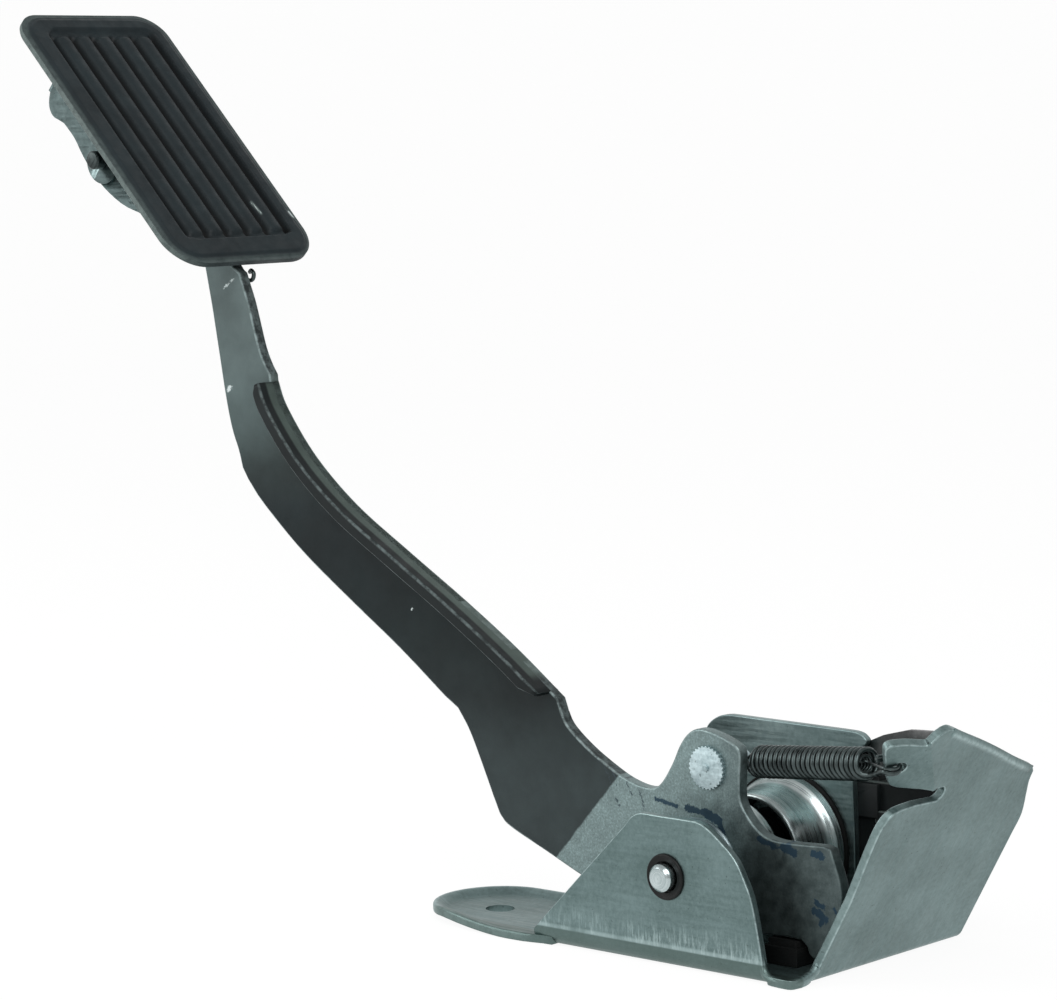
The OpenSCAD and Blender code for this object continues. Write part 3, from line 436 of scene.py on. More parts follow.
arm_paint = painted_arm("black_paint_on_steel", [-86.0, 14.5, 36.9], (0.73, 0.0, -0.68))

# %% [markdown]
# ### Plain steels, polymers and rubber
# The smaller parts share two recipes. Turned metal has fine rings about the
# pivot: polished plating mirrors the room in them, deep drawn and machined
# steel are softer and greyer, bronze and tinned brass are warm, and oil
# blackened steel and the bonded magnet are dark and dull. Moulded parts have
# the fine texture of a spark-eroded tool: the housing's polymer and the dip
# coat are satin black, rubber is blacker and duller, acetal is milky, friction
# lining is a brown without any shine, solder mask is a glossy green, and
# silicone is a soft brick red.

# %% Steel, polymer and rubber


def turned_steel(name, light, dark, centre, rough=0.25, ring_mm=0.5):
    """Lathe rings: noise read at (distance from the axis, place along it), so it is constant round the axis
    along Y."""
    material, tree, output, where = new_material(name)
    offset = put(tree, "VectorMath", {0: where, 1: tuple(row(centre))}, operation="SUBTRACT")
    parts = put(tree, "SeparateXYZ", {0: offset})
    flat = put(tree, "CombineXYZ", {"X": parts.outputs["X"], "Z": parts.outputs["Z"]})
    radius = put(tree, "VectorMath", {0: flat}, operation="LENGTH").outputs["Value"]
    polar = put(tree, "CombineXYZ", {"X": radius, "Y": parts.outputs["Y"]})
    rings = grain(tree, polar.outputs[0], ring_mm, detail=3.0)
    stains = grain(tree, where, 5.0, detail=4.0)
    both = put(tree, "Math", {0: rings, 1: stains}, operation="ADD")
    mean = put(tree, "Math", {0: both, 1: 0.5}, operation="MULTIPLY")
    tone = put(tree, "ValToRGB", {"Fac": mean}, [(0.36, dark), (0.60, light)])
    polish = put(tree, "MapRange", {
        "Value": rings, "From Min": 0.3, "From Max": 0.7, "To Min": rough * 0.75, "To Max": rough * 1.3
    }, **SMOOTH)
    bump = put(tree, "Bump", {"Height": rings, "Distance": 0.00002, "Strength": 0.3})
    shader = put(
        tree, "BsdfPrincipled", {"Base Color": tone, "Metallic": 1.0, "Roughness": polish, "Normal": bump}
    )
    finish_with(tree, output, shader)
    return material


def moulded(name, light, dark, rough=0.5, texture_mm=0.35, ior=1.5, level=0.5):
    """Polymer or rubber: colour from 14 mm cloudiness, bump from the mould's fine texture. The wear
    attribute rubs it grey above 0, lays painted shade below 0 and shows a pale nick above 1.2."""
    material, tree, output, where = new_material(name)
    wear = put(tree, "Attribute", attribute_name="wear").outputs["Fac"]
    clouds = put(
        tree, "Math", {0: grain(tree, where, 14.0, detail=5.0, rough=0.6), 1: 0.75}, operation="MULTIPLY"
    )
    flecks = put(tree, "Math", {0: grain(tree, where, 0.8, detail=3.0), 1: 0.25}, operation="MULTIPLY")
    cloudy = put(tree, "Math", {0: clouds, 1: flecks}, operation="ADD")
    tone = put(tree, "ValToRGB", {"Fac": cloudy}, [(0.36, dark), (0.64, light)])
    patchy = put(tree, "MapRange", {
        "Value": grain(tree, where, 2.5, detail=4.0), "From Min": 0.3, "From Max": 0.6, "To Min": 0.55,
        "To Max": 1.0
    }, **SMOOTH)
    rubbed = put(tree, "Clamp", {"Value": put(tree, "Math", {0: wear, 1: patchy}, operation="MULTIPLY")})
    polish = put(tree, "MapRange", {
        "Value": grain(tree, where, 4.0, detail=4.0), "From Min": 0.25, "From Max": 0.75,
        "To Min": rough - 0.07, "To Max": rough + 0.09
    }, **SMOOTH)
    bump = put(tree, "Bump", {
        "Height": grain(tree, where, texture_mm, detail=2.0), "Distance": 0.00005, "Strength": 0.35
    })
    most = put(tree, "Math", {0: rubbed, 1: 0.62}, operation="MULTIPLY")
    colour = put(tree, "Mix", {"Factor": most, "A": tone, "B": "#74827f"}, data_type="RGBA")
    # painted shade where the wear attribute is below 0, as in the pad's grooves
    painted_shade = put(tree, "MapRange", {"Value": wear, "From Min": 0.0, "From Max": -0.6})
    colour = put(tree, "Mix", {"Factor": painted_shade, "A": colour, "B": "#040708"}, data_type="RGBA")
    chipped = put(tree, "MapRange", {"Value": wear, "From Min": 1.2, "From Max": 1.9})
    colour = put(tree, "Mix", {"Factor": chipped, "A": colour, "B": "#c4cfcf"}, data_type="RGBA")
    shader = put(tree, "BsdfPrincipled", {
        "Base Color": colour, "Roughness": polish, "IOR": ior, "Specular IOR Level": level, "Normal": bump
    })
    finish_with(tree, output, shader)
    return material


PIVOT = [-44.2, 0.0, 26.1]
polished = turned_steel("polished_plated_steel", "#c3cfd0", "#98a6a7", PIVOT, 0.22)
drawn_steel = turned_steel("deep_drawn_steel", "#b9c3c3", "#8c9898", PIVOT, 0.30, 0.8)
machined = turned_steel("machined_steel", "#a8b6b9", "#7a898e", PIVOT, 0.32)
bronze = turned_steel("bearing_bronze", "#cdb277", "#a98c52", PIVOT, 0.35)
oiled = turned_steel("oil_blackened_steel", "#4d5555", "#323838", PIVOT, 0.35)
brass = turned_steel("tinned_brass", "#d8cba0", "#b8a878", [-30, 68, 50], 0.3)
magnet = turned_steel("bonded_magnet", "#56585a", "#3c3e40", PIVOT, 0.45)
polymer = moulded("moulded_black_polymer", "#181e1f", "#101415", 0.52, level=0.3)
pad_rubber = moulded("moulded_tread_rubber", "#19262a", "#101b1f", 0.58, 0.5, 1.52, 0.30)
bearing = moulded("bearing_polymer", "#0b0f0f", "#060808", 0.45, level=0.25)
rubber = moulded("moulded_rubber", "#0b0e0e", "#060707", 0.70, 0.6, 1.52, 0.18)
acetal = moulded("natural_acetal", "#ddd8c4", "#cbc5ae", 0.42)
lining = moulded("friction_lining", "#4a3d33", "#31281f", 0.8, 0.8)
mask = moulded("solder_mask", "#1d6a3c", "#144f2c", 0.3)
silicone = moulded("silicone_seal", "#7a2a20", "#5f1f17", 0.55)
dipped = moulded("black_dip_coat", "#1f2626", "#131818", 0.42, 0.7, level=0.4)

# %% [markdown]
# ## Carried-over CAD pieces
# Turned and moulded parts keep their exact solids. A Weld modifier joins the
# loose triangles and a small Bevel breaks the corners as deburring does. All
# faces are shaded smooth, and the Bevel's hardened normals keep the flat ones
# flat.

# %% Finishes of the CAD nodes
FINISH = {
    "brace_strap": dipped, "near_bush": bearing, "far_bush": bearing, "hub_collar": machined,
    "pivot_shaft": polished, "thrust_washer": bronze, "shaft_clip": oiled, "friction_disc": lining,
    "wave_washer": oiled, "damper_cup": drawn_steel, "cup_rivets": machined, "spring_stud": nail_head,
    "idle_stop": rubber, "travel_stop": rubber, "sensor_housing": polymer, "sensor_cover": polymer,
    "sensor_rotor": acetal, "sensor_magnet": magnet, "sensor_board": mask, "sensor_terminals": brass,
    "sensor_seal": silicone, "sensor_screws": machined, "pad_carrier": zinc_lightened_for_shade, "pad_pin": oiled,
    "pad_spacer": bearing, "pin_clip": oiled,
}
DEBURR, TOUCH = 0.00025, 0.00001
for name, material in FINISH.items():
    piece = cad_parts[name]
    piece.data.materials.clear()
    piece.data.materials.append(material)
    piece.data.shade_smooth()
    weld = piece.modifiers.new("weld", "WELD")
    weld.merge_threshold = TOUCH
    bevel = piece.modifiers.new("deburred", "BEVEL")
    bevel.width, bevel.segments, bevel.harden_normals = DEBURR, 2, True
    bevel.limit_method, bevel.angle_limit = "ANGLE", math.radians(35)
print("finished", len(FINISH), "CAD nodes")

# %% [markdown]
# ## Springs
# A return spring is round wire wound on a mandrel. A tube is a circle carried
# along the wire's centre line, so the whole spring is one array of points:
# centre plus radius times (normal cos a + binormal sin a).

# %% Helpers for new meshes


def quads(rows, cols, wrap_rows=False, wrap_cols=False):
    """Indices of the quads of a grid of points; a wrapped direction joins its last line to its first."""
    r = np.arange(rows if wrap_rows else rows - 1)[:, None]
    c = np.arange(cols if wrap_cols else cols - 1)[None, :]
    r1, c1 = (r + 1) % rows, (c + 1) % cols
    return np.stack([r * cols + c, r * cols + c1, r1 * cols + c1, r1 * cols + c], -1).reshape(-1, 4)


def build(name, points, faces, material, body, replaced=()):
    """Puts points (mm, drawing) and faces in a mesh, rides it on the body and lets it stand for CAD
    nodes."""
    mesh = bpy.data.meshes.new(name)
    mesh.from_pydata(row(points), [], [list(map(int, f)) for f in faces])
    mesh.validate()
    mesh.shade_smooth()
    mesh.materials.append(material)
    piece = bpy.data.objects.new(name, mesh)
    bpy.context.scene.collection.objects.link(piece)
    if body:
        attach(piece, body)
    if replaced:
        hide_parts(*replaced)
    print(name, len(points), "points", len(faces), "faces")
    return piece


def unit(v):
    """Vectors scaled to length 1 along the last axis."""
    v = np.asarray(v, float)
    return v / np.linalg.norm(v, axis=-1, keepdims=True)


def tube(path, radius, sides=12, guide=(0.21, 0.57, 0.79)):
    """A circle carried along a path: p + r (n cos a + b sin a), n square to the tangent and a guide vector,
    ends closed by fans to the path's end points."""
    p = np.asarray(path, float)
    t = unit(np.gradient(p, axis=0))
    n = unit(np.cross(t, guide))
    b = np.cross(t, n)
    a = np.linspace(0, 2 * np.pi, sides, endpoint=False)
    ring = p[:, None] + radius * (
        n[:, None] * np.cos(a)[None, :, None] + b[:, None] * np.sin(a)[None, :, None]
    )
    points = np.concatenate([ring.reshape(-1, 3), p[:1], p[-1:]])
    k, last = np.arange(sides), (len(p) - 1) * sides
    first_cap = np.stack([(k + 1) % sides, k, np.full(sides, len(p) * sides)], -1)
    last_cap = np.stack([last + k, last + (k + 1) % sides, np.full(sides, len(p) * sides + 1)], -1)
    return points, list(quads(len(p), sides, wrap_cols=True)) + list(first_cap) + list(last_cap)


def smooth_curve(knots, steps=8):
    """Catmull-Rom curve through the knots: each span is a cubic whose end slopes are half the chord of its
    neighbours."""
    k = np.asarray(knots, float)
    k = np.concatenate([2 * k[:1] - k[1:2], k, 2 * k[-1:] - k[-2:-1]])
    t = np.linspace(0, 1, steps, endpoint=False)[None, :, None]
    a, b, c, d = (k[i:len(k) - 3 + i][:, None] for i in range(4))
    spans = 0.5 * (
        2 * b + (c - a) * t + (2 * a - 5 * b + 4 * c - d) * t ** 2 + (3 * b - a - 3 * c + d) * t ** 3
    )
    return np.concatenate([spans.reshape(-1, k.shape[1]), k[-2:-1]])


# %% [markdown]
# The springs hang between a stud on the arm's lug and a hole in the flap's
# tab. The flap leans back from the base and the tab is turned down from the
# flap, so each has a function that puts its own coordinates in the drawing's.

# %% Where the springs hang
LEAN, TAB, FLAP = math.radians(29.5), math.radians(25.0), 85.0
SHEET, HOOK_HOLE = 2.6, (16.0, 8.6)


def flap_point(y, s, n):
    """A point of the leaning flap: y along the pivot, s up the slope, n outward from its outer face."""
    return np.array([s * math.sin(LEAN) + n * math.cos(LEAN), y, s * math.cos(LEAN) - n * math.sin(LEAN)])


def tab_point(u, v, w):
    """A point of the spring tab: u along its fold, v away from the fold, w above its outer face."""
    k, fold = w + SHEET, math.radians(126.9)
    y1, z1 = v * math.cos(TAB) + k * math.sin(TAB), -v * math.sin(TAB) + k * math.cos(TAB)
    return flap_point(
        26 + u * math.cos(fold) - y1 * math.sin(fold),
        FLAP - 21.4 + u * math.sin(fold) + y1 * math.cos(fold), z1 - SHEET
    )


stud = np.array([-39.9, 27.0, 55.7])
eye = tab_point(*HOOK_HOLE, -SHEET / 2)
along = unit(eye - stud)
reach = float(np.linalg.norm(eye - stud))
across = unit(np.cross(along, [0, 0, 1]))
above = np.cross(across, along)
print("spring from", stud.round(1), "to", eye.round(1), "length", round(reach, 1), "mm")


def coil(s, radius, degrees):
    """Point of a helix about the spring's line at distance s from the stud."""
    a = np.radians(degrees)
    return stud + along * np.asarray(s)[..., None] + radius * (
        np.cos(a)[..., None] * across + np.sin(a)[..., None] * above
    )


def stud_loop(radius, y):
    """The hook's loop round the stud, from 50 to 320 degrees about Y."""
    a = np.radians(np.arange(50, 321, 18))
    return np.stack([stud[0] + radius * np.cos(a), np.full(len(a), y), stud[2] + radius * np.sin(a)], -1)


# %% [markdown]
# ### Spring wire
# Drawn and oil tempered wire is dark grey with fine lines along it. The wire
# is too thin for the lines to show at this distance, so a mottle of about the
# wire's own width stands for them.

# %% Spring wire and the two return springs
wire_steel = turned_steel("oil_tempered_wire", "#555f5f", "#343b3b", stud, 0.34, 1.6)


def return_spring(name, outside, wire, turns, start, end, begin, lead, hook):
    """Loop on the stud, short lead, close helix, lead and hook in the tab's hole, joined by one smooth
    curve. The helix turns by -360 degrees a turn from begin."""
    r = (outside - wire) / 2
    i = np.arange(int(turns * 20) + 1) / int(turns * 20)
    body = coil(start + (end - start) * i, r, begin - turns * 360.0 * i)
    round_stud = stud_loop(2.3 + wire / 2, stud[1] + lead)
    lead_in = coil(np.array([7.6, 9.6]), r * 0.8, np.array([begin + 60.0, begin + 28.0]))
    first = smooth_curve(np.concatenate([round_stud[-3:], lead_in, body[:1]]), 5)[:-1]
    last = smooth_curve(np.concatenate([body[-2:], hook]), 6)[7:]
    points, faces = tube(np.concatenate([round_stud[:-3], first, body, last]), wire / 2, 12)
    piece = build(name, points, faces, wire_steel, None, ())
    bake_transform(piece)
    return piece


def hook_through(spots):
    """Points near the tab's hole: along the fold from the hole, away from the fold, and above the tab's
    face."""
    return np.array([tab_point(HOOK_HOLE[0] + u, HOOK_HOLE[1] + v, w) for u, v, w in spots])


outer_end, inner_end = reach - 12.6, reach - 13.6
outer_lead = coil(outer_end + np.array([0.7, 2.1, 4.6]), 3.8, np.array([-36.0, -42.0, -44.0]))
outer_spots = [
    (1.0, 4.5, 0.0), (0.8, 3.3, 0.98), (0.1, 0.9, 1.0), (-0.5, -0.4, -1.2), (-0.5, 0.3, -3.5),
    (0.1, 2.7, -4.3), (0.7, 5.2, -4.2)
]
outer_hook = np.concatenate([outer_lead, hook_through(outer_spots)])
inner_lead = coil(inner_end + np.array([2.2, 4.6]), 2.1, np.array([30.0, 12.0]))
inner_spots = [
    (2.9, 4.6, 0.0), (2.6, 3.4, 0.62), (1.6, 0.7, 0.7), (1.4, -0.3, -1.2), (1.5, 0.5, -3.4),
    (2.1, 2.6, -4.1), (2.7, 4.8, -4.1)
]
inner_hook = np.concatenate([inner_lead, hook_through(inner_spots)])
outer = return_spring("return_spring_outer", 9.6, 1.5, 22.97, 11.2, outer_end, -30.0, 0.8, outer_hook)
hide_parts("outer_spring")
inner = return_spring("return_spring_inner", 5.4, 0.8, 36.0, 11.8, inner_end, 20.0, -1.0, inner_hook)
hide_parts("inner_spring")

# %% [markdown]
# ### Pad spring
# A small torsion spring round the pad's pin keeps the pad's lower end off the
# arm. One leg presses on the carrier, the other ends in an eye by the arm.

# %% Where the pad turns
ARM_Y, ARM_T = 14.5, 4.0
PIN = np.array([-285.5, ARM_Y + ARM_T / 2, 231.2])
PAD_L, PAD_T, PAD_TOP, PAD_FACE, SLOPE = 114.0, 6.0, 47.5, 20.4, math.radians(45.8)


def on_pad(p):
    """Pad coordinates (across, up the pad, out of its face), from the hinge pin, to the drawing's own."""
    x, y, z = p[..., 0], p[..., 1], p[..., 2]
    return np.stack([
        PIN[0] - y * math.cos(SLOPE) + z * math.sin(SLOPE), PIN[1] + x,
        PIN[2] + y * math.sin(SLOPE) + z * math.cos(SLOPE)
    ], -1)


foot_end = PAD_TOP - PAD_L + 8.2
print("pad turns at", PIN, "its spring ends", round(foot_end, 1), "mm down the pad")

# %% Pad spring
turns = np.arange(29)
ya, yb = PIN[1] + 3.0, PIN[1] + 5.6
angle = np.radians(7.0 - turns * 817.0 / 28)
loop = np.stack(
    [PIN[0] + 6.4 * np.cos(angle), ya + (yb - ya) * turns / 28, PIN[2] + 6.4 * np.sin(angle)], -1
)
down = on_pad(np.array([
    (3.2, foot_end * 0.475, 5.8), (3.0, foot_end * 0.84, 10.2), (3.0, foot_end - 1, 12.0),
    (3.0, foot_end - 7.0, 11.6), (3.0, foot_end - 8.9, 13.2), (3.0, foot_end - 8.2, 15.0),
    (3.3, foot_end - 6.4, 14.8), (4.2, foot_end - 5.6, 13.2)
]))
leg = smooth_curve(np.concatenate([loop[-1:], [[PIN[0] + 9, yb, PIN[2] - 8.2]], down]), 5)[1:]
press = smooth_curve([[PIN[0] + 4.6, ya, PIN[2] + 14.7], [PIN[0] + 5.6, ya, PIN[2] + 7], loop[0]], 4)[:-1]
fine_loop = smooth_curve(loop, 2)
points, faces = tube(np.concatenate([press, fine_loop, leg]), 0.7, 10)
pad_spring = build("pad_torsion_spring", points, faces, wire_steel, None, ())
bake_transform(pad_spring)
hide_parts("pad_spring")

# %% [markdown]
# ## Pressed sheet
# The bracket and the arm are blanked from strip, so every edge is a sheared
# wall with its corners worn round. A Bevel modifier on a boolean solid would
# do it roughly. Here the outline itself is carried over a rounded edge
# profile, as rings from the front face over the wall to the back face, and
# the two faces are filled between their rings. The normals follow from the
# same angles, so the flat faces stay flat right up to the rounding.

# %% Helpers for sheet parts


def loop_in(loop):
    """Inward normals of a closed loop that runs with its metal on the left: the mean of the two sides' left
    normals, drawn out so the inset is even at a corner."""
    p = np.asarray(loop, float)
    t = unit(np.roll(p, -1, 0) - p)
    left = np.stack([-t[:, 1], t[:, 0]], -1)
    mean = left + np.roll(left, 1, 0)
    m = unit(mean)
    return m / np.clip((m * left).sum(-1, keepdims=True), 0.6, None)


def plate(outline, holes, thick, edge, place, soft=None, fixed=()):
    """Sheet metal: rings at inset edge (1 - sin f), depth edge (1 - cos f) for f from 0 to 90 degrees, the
    same at the back, and filled faces. place is (origin, U, V, W): a point is origin + u U + v V + w W,
    with w 0 on the front face. soft scales the rounding at each outline point, and fixed sets the inset's
    direction at a point (u, v, nu, nv) where the plate runs on into a bend."""
    o, U, V, W = (np.asarray(a, float) for a in place)
    f = np.radians([0, 30, 60, 90])
    inset = np.concatenate([edge * (1 - np.sin(f)), (edge * (1 - np.sin(f)))[::-1]])
    depth = np.concatenate([edge * (1 - np.cos(f)), (thick - edge * (1 - np.cos(f)))[::-1]])
    lean = np.concatenate([f, (np.pi - f)[::-1]])
    points, normals, wear, faces, start, fronts, backs = [], [], [], [], 0, [], []
    rub = np.array([0.0, 1.0, 1.0, 0.35, 0.35, 0.7, 0.7, 0.0])
    loops = [np.asarray(loop, float) for loop in [outline] + list(holes)]
    inwards = [loop_in(p) for p in loops]
    for u, v, nu, nv in fixed:
        inwards[0][np.argmin(np.hypot(loops[0][:, 0] - u, loops[0][:, 1] - v))] = (nu, nv)
    for k, (p, n_in) in enumerate(zip(loops, inwards)):
        s = np.ones(len(p)) if soft is None or k else np.asarray(soft, float)
        flat = p[None] + inset[:, None, None] * n_in[None] * s[None, :, None]
        w = -np.where(s[None] > 0, depth[:, None], np.where(depth[:, None] < thick / 2, 0.0, thick))
        points.append(o + flat[..., :1] * U + flat[..., 1:] * V + w[..., None] * W)
        out = -unit(n_in)
        n = (
            np.cos(lean)[:, None, None] * W + np.sin(lean)[:, None, None]
            * (out[:, :1] * U + out[:, 1:] * V)[None]
        )
        flat_n = np.sign(np.cos(lean))[:, None, None] * W
        normals.append(np.where(s[None, :, None] > 0, n, flat_n))
        wear.append((rub[:, None] * (s[None] > 0)).ravel())
        faces += [q[::-1] for q in (quads(len(inset), len(p), wrap_cols=True) + start)]
        fronts.append(np.arange(len(p)) + start)
        backs.append(np.arange(len(p)) + start + (len(inset) - 1) * len(p))
        start += len(inset) * len(p)
    outer_rim = 1.0 if soft is None else np.asarray(soft, float)[:, None]
    rims = [p + edge * n * (1.0 if i else outer_rim) for i, (p, n) in enumerate(zip(loops, inwards))]
    cap = np.array(tessellate_polygon([[Vector((a, b, 0.0)) for a, b in rim.tolist()] for rim in rims]))
    xy = np.concatenate(rims)
    a, b, c = (xy[cap[:, i]] for i in range(3))
    turned = (b[:, 0] - a[:, 0]) * (c[:, 1] - a[:, 1]) - (b[:, 1] - a[:, 1]) * (c[:, 0] - a[:, 0]) < 0
    cap[turned] = cap[turned][:, ::-1]
    faces += list(np.concatenate(fronts)[cap]) + list(np.concatenate(backs)[cap][:, ::-1])
    points, normals = (np.concatenate([x.reshape(-1, 3) for x in rows]) for rows in (points, normals))
    return points, faces, unit(normals), np.concatenate(wear)


def rounded_box_loop(u0, u1, w0, w1, radii):
    """A rectangle from (u0, w0) to (u1, w1), counter-clockwise, each corner an arc of its own radius.
    Returns points and outward normals."""
    pts, nrm = [], []
    for (cu, cw, a0), r in zip([(u1, w0, -90), (u1, w1, 0), (u0, w1, 90), (u0, w0, 180)], radii):
        a = np.radians(a0 + np.array([0, 30, 60, 90]))
        su, sw = (-1 if cu == u1 else 1), (-1 if cw == w1 else 1)
        n = np.stack([np.cos(a), np.sin(a)], -1)
        pts.append(np.array([cu + su * r, cw + sw * r]) + r * n)
        nrm.append(n)
    return np.concatenate(pts), np.concatenate(nrm)


def bend(span, centre, axis, e1, e2, inner, outer, edge, degrees=90.0, steps=14):
    """A sheet bend: a rounded rectangle of (place along the axis, radius) carried from e1 towards e2 about
    the bend's axis. Both ends are closed."""
    loop, nrm = rounded_box_loop(span[0], span[1], inner, outer, [edge] * 4)
    a = np.radians(np.linspace(0, degrees, steps))[:, None, None]
    ray = np.cos(a) * np.asarray(e1, float) + np.sin(a) * np.asarray(e2, float)
    p = np.asarray(centre, float) + loop[None, :, :1] * np.asarray(axis, float) + loop[None, :, 1:] * ray
    n = nrm[None, :, :1] * np.asarray(axis, float) + nrm[None, :, 1:] * ray
    body = quads(steps, len(loop), wrap_cols=True)
    k = np.arange(len(loop))
    faces = list(body) + [k[::-1], k + (steps - 1) * len(loop)]
    hand = np.dot(np.cross(np.asarray(e1, float), np.asarray(e2, float)), np.asarray(axis, float))
    if hand > 0:
        faces = [f[::-1] for f in faces]
    return p.reshape(-1, 3), faces, n.reshape(-1, 3), np.tile([0.0, 1.0, 1.0, 0.0], 4 * steps)


def by_size(faces):
    """Faces sorted into arrays of equal length, so that each array can be worked on at once."""
    sizes = np.array([len(f) for f in faces])
    return [np.array([faces[i] for i in np.flatnonzero(sizes == n)]) for n in np.unique(sizes)]


def outward(points, faces):
    """The same faces, all turned if the closed shape's volume, the sum of a . (b x c) / 6 over its fans of
    triangles, is negative."""
    p = points - points.mean(0)
    volume = 0.0
    for group in by_size(faces):
        for k in range(1, group.shape[1] - 1):
            volume += (p[group[:, 0]] * np.cross(p[group[:, k]], p[group[:, k + 1]])).sum() / 6
    return [f[::-1] for f in faces] if volume < 0 else faces


def mean_normals(points, faces):
    """Each point's normal: the sum of its faces' area vectors, scaled to length 1."""
    total = np.zeros_like(points)
    for group in by_size(faces):
        area = np.zeros((len(group), 3))
        for k in range(1, group.shape[1] - 1):
            area += np.cross(
                points[group[:, k]] - points[group[:, 0]], points[group[:, k + 1]] - points[group[:, 0]]
            )
        for k in range(group.shape[1]):
            np.add.at(total, group[:, k], area)
    return total / np.maximum(np.linalg.norm(total, axis=1, keepdims=True), 1e-12)


def build_sheet(name, parts, material, body, replaced):
    """Joins several closed (points, faces, normals, wear) in one piece; a part with no normals of its own
    gets the mean of its faces', and wear is kept as an attribute of the points."""
    parts = [(p, outward(p, f), n, w) for p, f, n, w in parts]
    starts = np.cumsum([0] + [len(part[0]) for part in parts[:-1]])
    normals = np.concatenate([n if n is not None else mean_normals(p, f) for p, f, n, w in parts])
    wear = np.concatenate([np.broadcast_to(np.ravel(w), len(p)) for p, f, n, w in parts])
    faces = [np.asarray(face) + s for (p, f, n, w), s in zip(parts, starts) for face in f]
    piece = build(name, np.concatenate([part[0] for part in parts]), faces, material, body, replaced)
    piece.data.normals_split_custom_set_from_vertices(unit(normals).tolist())
    piece.data.attributes.new("wear", "FLOAT", "POINT").data.foreach_set("value", wear.astype(np.float32))
    return piece


def circle_hole(x, y, d, n=40):
    """A hole's loop runs clockwise, so its metal is on the left."""
    a = np.linspace(0, -2 * np.pi, n, endpoint=False)
    return np.stack([x + d / 2 * np.cos(a), y + d / 2 * np.sin(a)], -1)


def arc(centre, r, a0, a1, n=8):
    """Points of an arc from angle a0 to a1, in degrees."""
    a = np.radians(np.linspace(a0, a1, n + 1))
    return np.stack([centre[0] + r * np.cos(a), centre[1] + r * np.sin(a)], -1)


# %% [markdown]
# ### Bracket
# One blank makes the base, the near ear, the leaning flap with its spring tab
# and the dished tongue. Each flat is a plate and each fold is a bend between
# two of them, with the same 2.6 mm sheet throughout and a 1.5 mm inside radius
# at the ear and the flap; the tab's fold is almost sharp.

# %% Bracket outlines
RI = 1.5
RO = RI + SHEET
BASE, WIDTH, EAR = 97.0, 80.0, 43.4
CORNER_X, CORNER_Y = 9.4, 9.8
fs, fc = math.sin(LEAN), math.cos(LEAN)
flap_cx = RO * (fs - 1) / fc
X, Y, Z = np.eye(3)

ear_outline = np.concatenate([
    [[-BASE + 0.9, RO]],
    smooth_curve([[-59.5, EAR - 4.2], [-56.8, EAR - 1.4], [-53.5, EAR], [-48, EAR]], 4),
    smooth_curve([
        [-33, EAR - 0.1], [-29.6, EAR - 1.2], [-24.5, EAR - 4.6], [-19, EAR - 9.3], [-15.7, EAR - 14.8],
        [-13.5, EAR - 19.6], [-12, EAR - 25.4], [-10.7, EAR - 32]
    ], 4),
    [[-CORNER_X, RO]]
])[::-1]
flap_outline = np.concatenate([
    [[CORNER_Y, -flap_cx]],
    smooth_curve([
        [CORNER_Y + 0.4, FLAP - 57], [9.4, FLAP - 50], [8.2, FLAP - 39], [8, FLAP - 32], [9.6, FLAP - 28],
        [13, FLAP - 26.2], [19.8, FLAP - 25.6]
    ], 4),
    [[29, FLAP - 26]], arc([29, FLAP - 23.7], 2.3, -80, 95, 10),
    [[26, FLAP - 21.4], [12.7, FLAP - 3.7], [14.9, FLAP - 1.5]],
    smooth_curve([
        [17.2, FLAP - 0.3], [19.4, FLAP], [22.5, FLAP - 1], [29.2, FLAP - 3.8], [44.6, FLAP - 10],
        [WIDTH - 19, FLAP - 17.3], [WIDTH - 7, FLAP - 22.3]
    ], 4),
    smooth_curve([
        [WIDTH - 5.6, FLAP - 24], [WIDTH - 5.2, FLAP - 27.4], [WIDTH - 3.8, FLAP - 31],
        [WIDTH - 0.2, FLAP - 40], [WIDTH - 0.2, FLAP - 47]
    ], 4),
    [[WIDTH - 1, -flap_cx]]
])[::-1]
tab_outline = np.concatenate([[[0, -0.6], [0, 0]], smooth_curve([
    [2.4, 3], [5.4, 7.4], [7.2, 9.9], [8.6, 11.2], [10.6, 12], [15.6, 12.3], [20.4, 12.3], [25.2, 12.1],
    [26.9, 11.3], [27, 9.3], [25.4, 5.4], [23, 1.6]
], 4), [[22.1, 0], [22.1, -0.6]]])[::-1]
base_outline = np.array([
    [-BASE, RO], [-CORNER_X, RO], [-CORNER_X, 2.6], [-9.0, 1.2], [-8.1, 0.4], [-6.6, 0.0], [-3.4, -0.4],
    [-0.6, -0.4], [0.4, 0.0], [0.9, 0.8], [1.3, 3.6], [1.0, 6.0], [0.4, 8.0], [-0.4, CORNER_Y],
    [flap_cx, CORNER_Y], [flap_cx, WIDTH - 1], [-BASE + 13, WIDTH - 1], [-BASE + 1, 60], [-BASE - 3, 43],
    [-BASE - 3, 20]
])
print("flap", len(flap_outline), "ear", len(ear_outline), "points")

# %% Bracket
flap_place = (np.zeros(3), Y, [fs, 0, fc], [fc, 0, -fs])
tab_o = tab_point(0, 0, 0)
tab_place = (tab_o, tab_point(1, 0, 0) - tab_o, tab_point(0, 1, 0) - tab_o, tab_point(0, 0, 1) - tab_o)
fold = unit(np.array([12.7 - 26.0, 17.7]))
fold_e2 = (tab_place[3] - math.cos(TAB) * np.array(flap_place[3])) / math.sin(TAB)


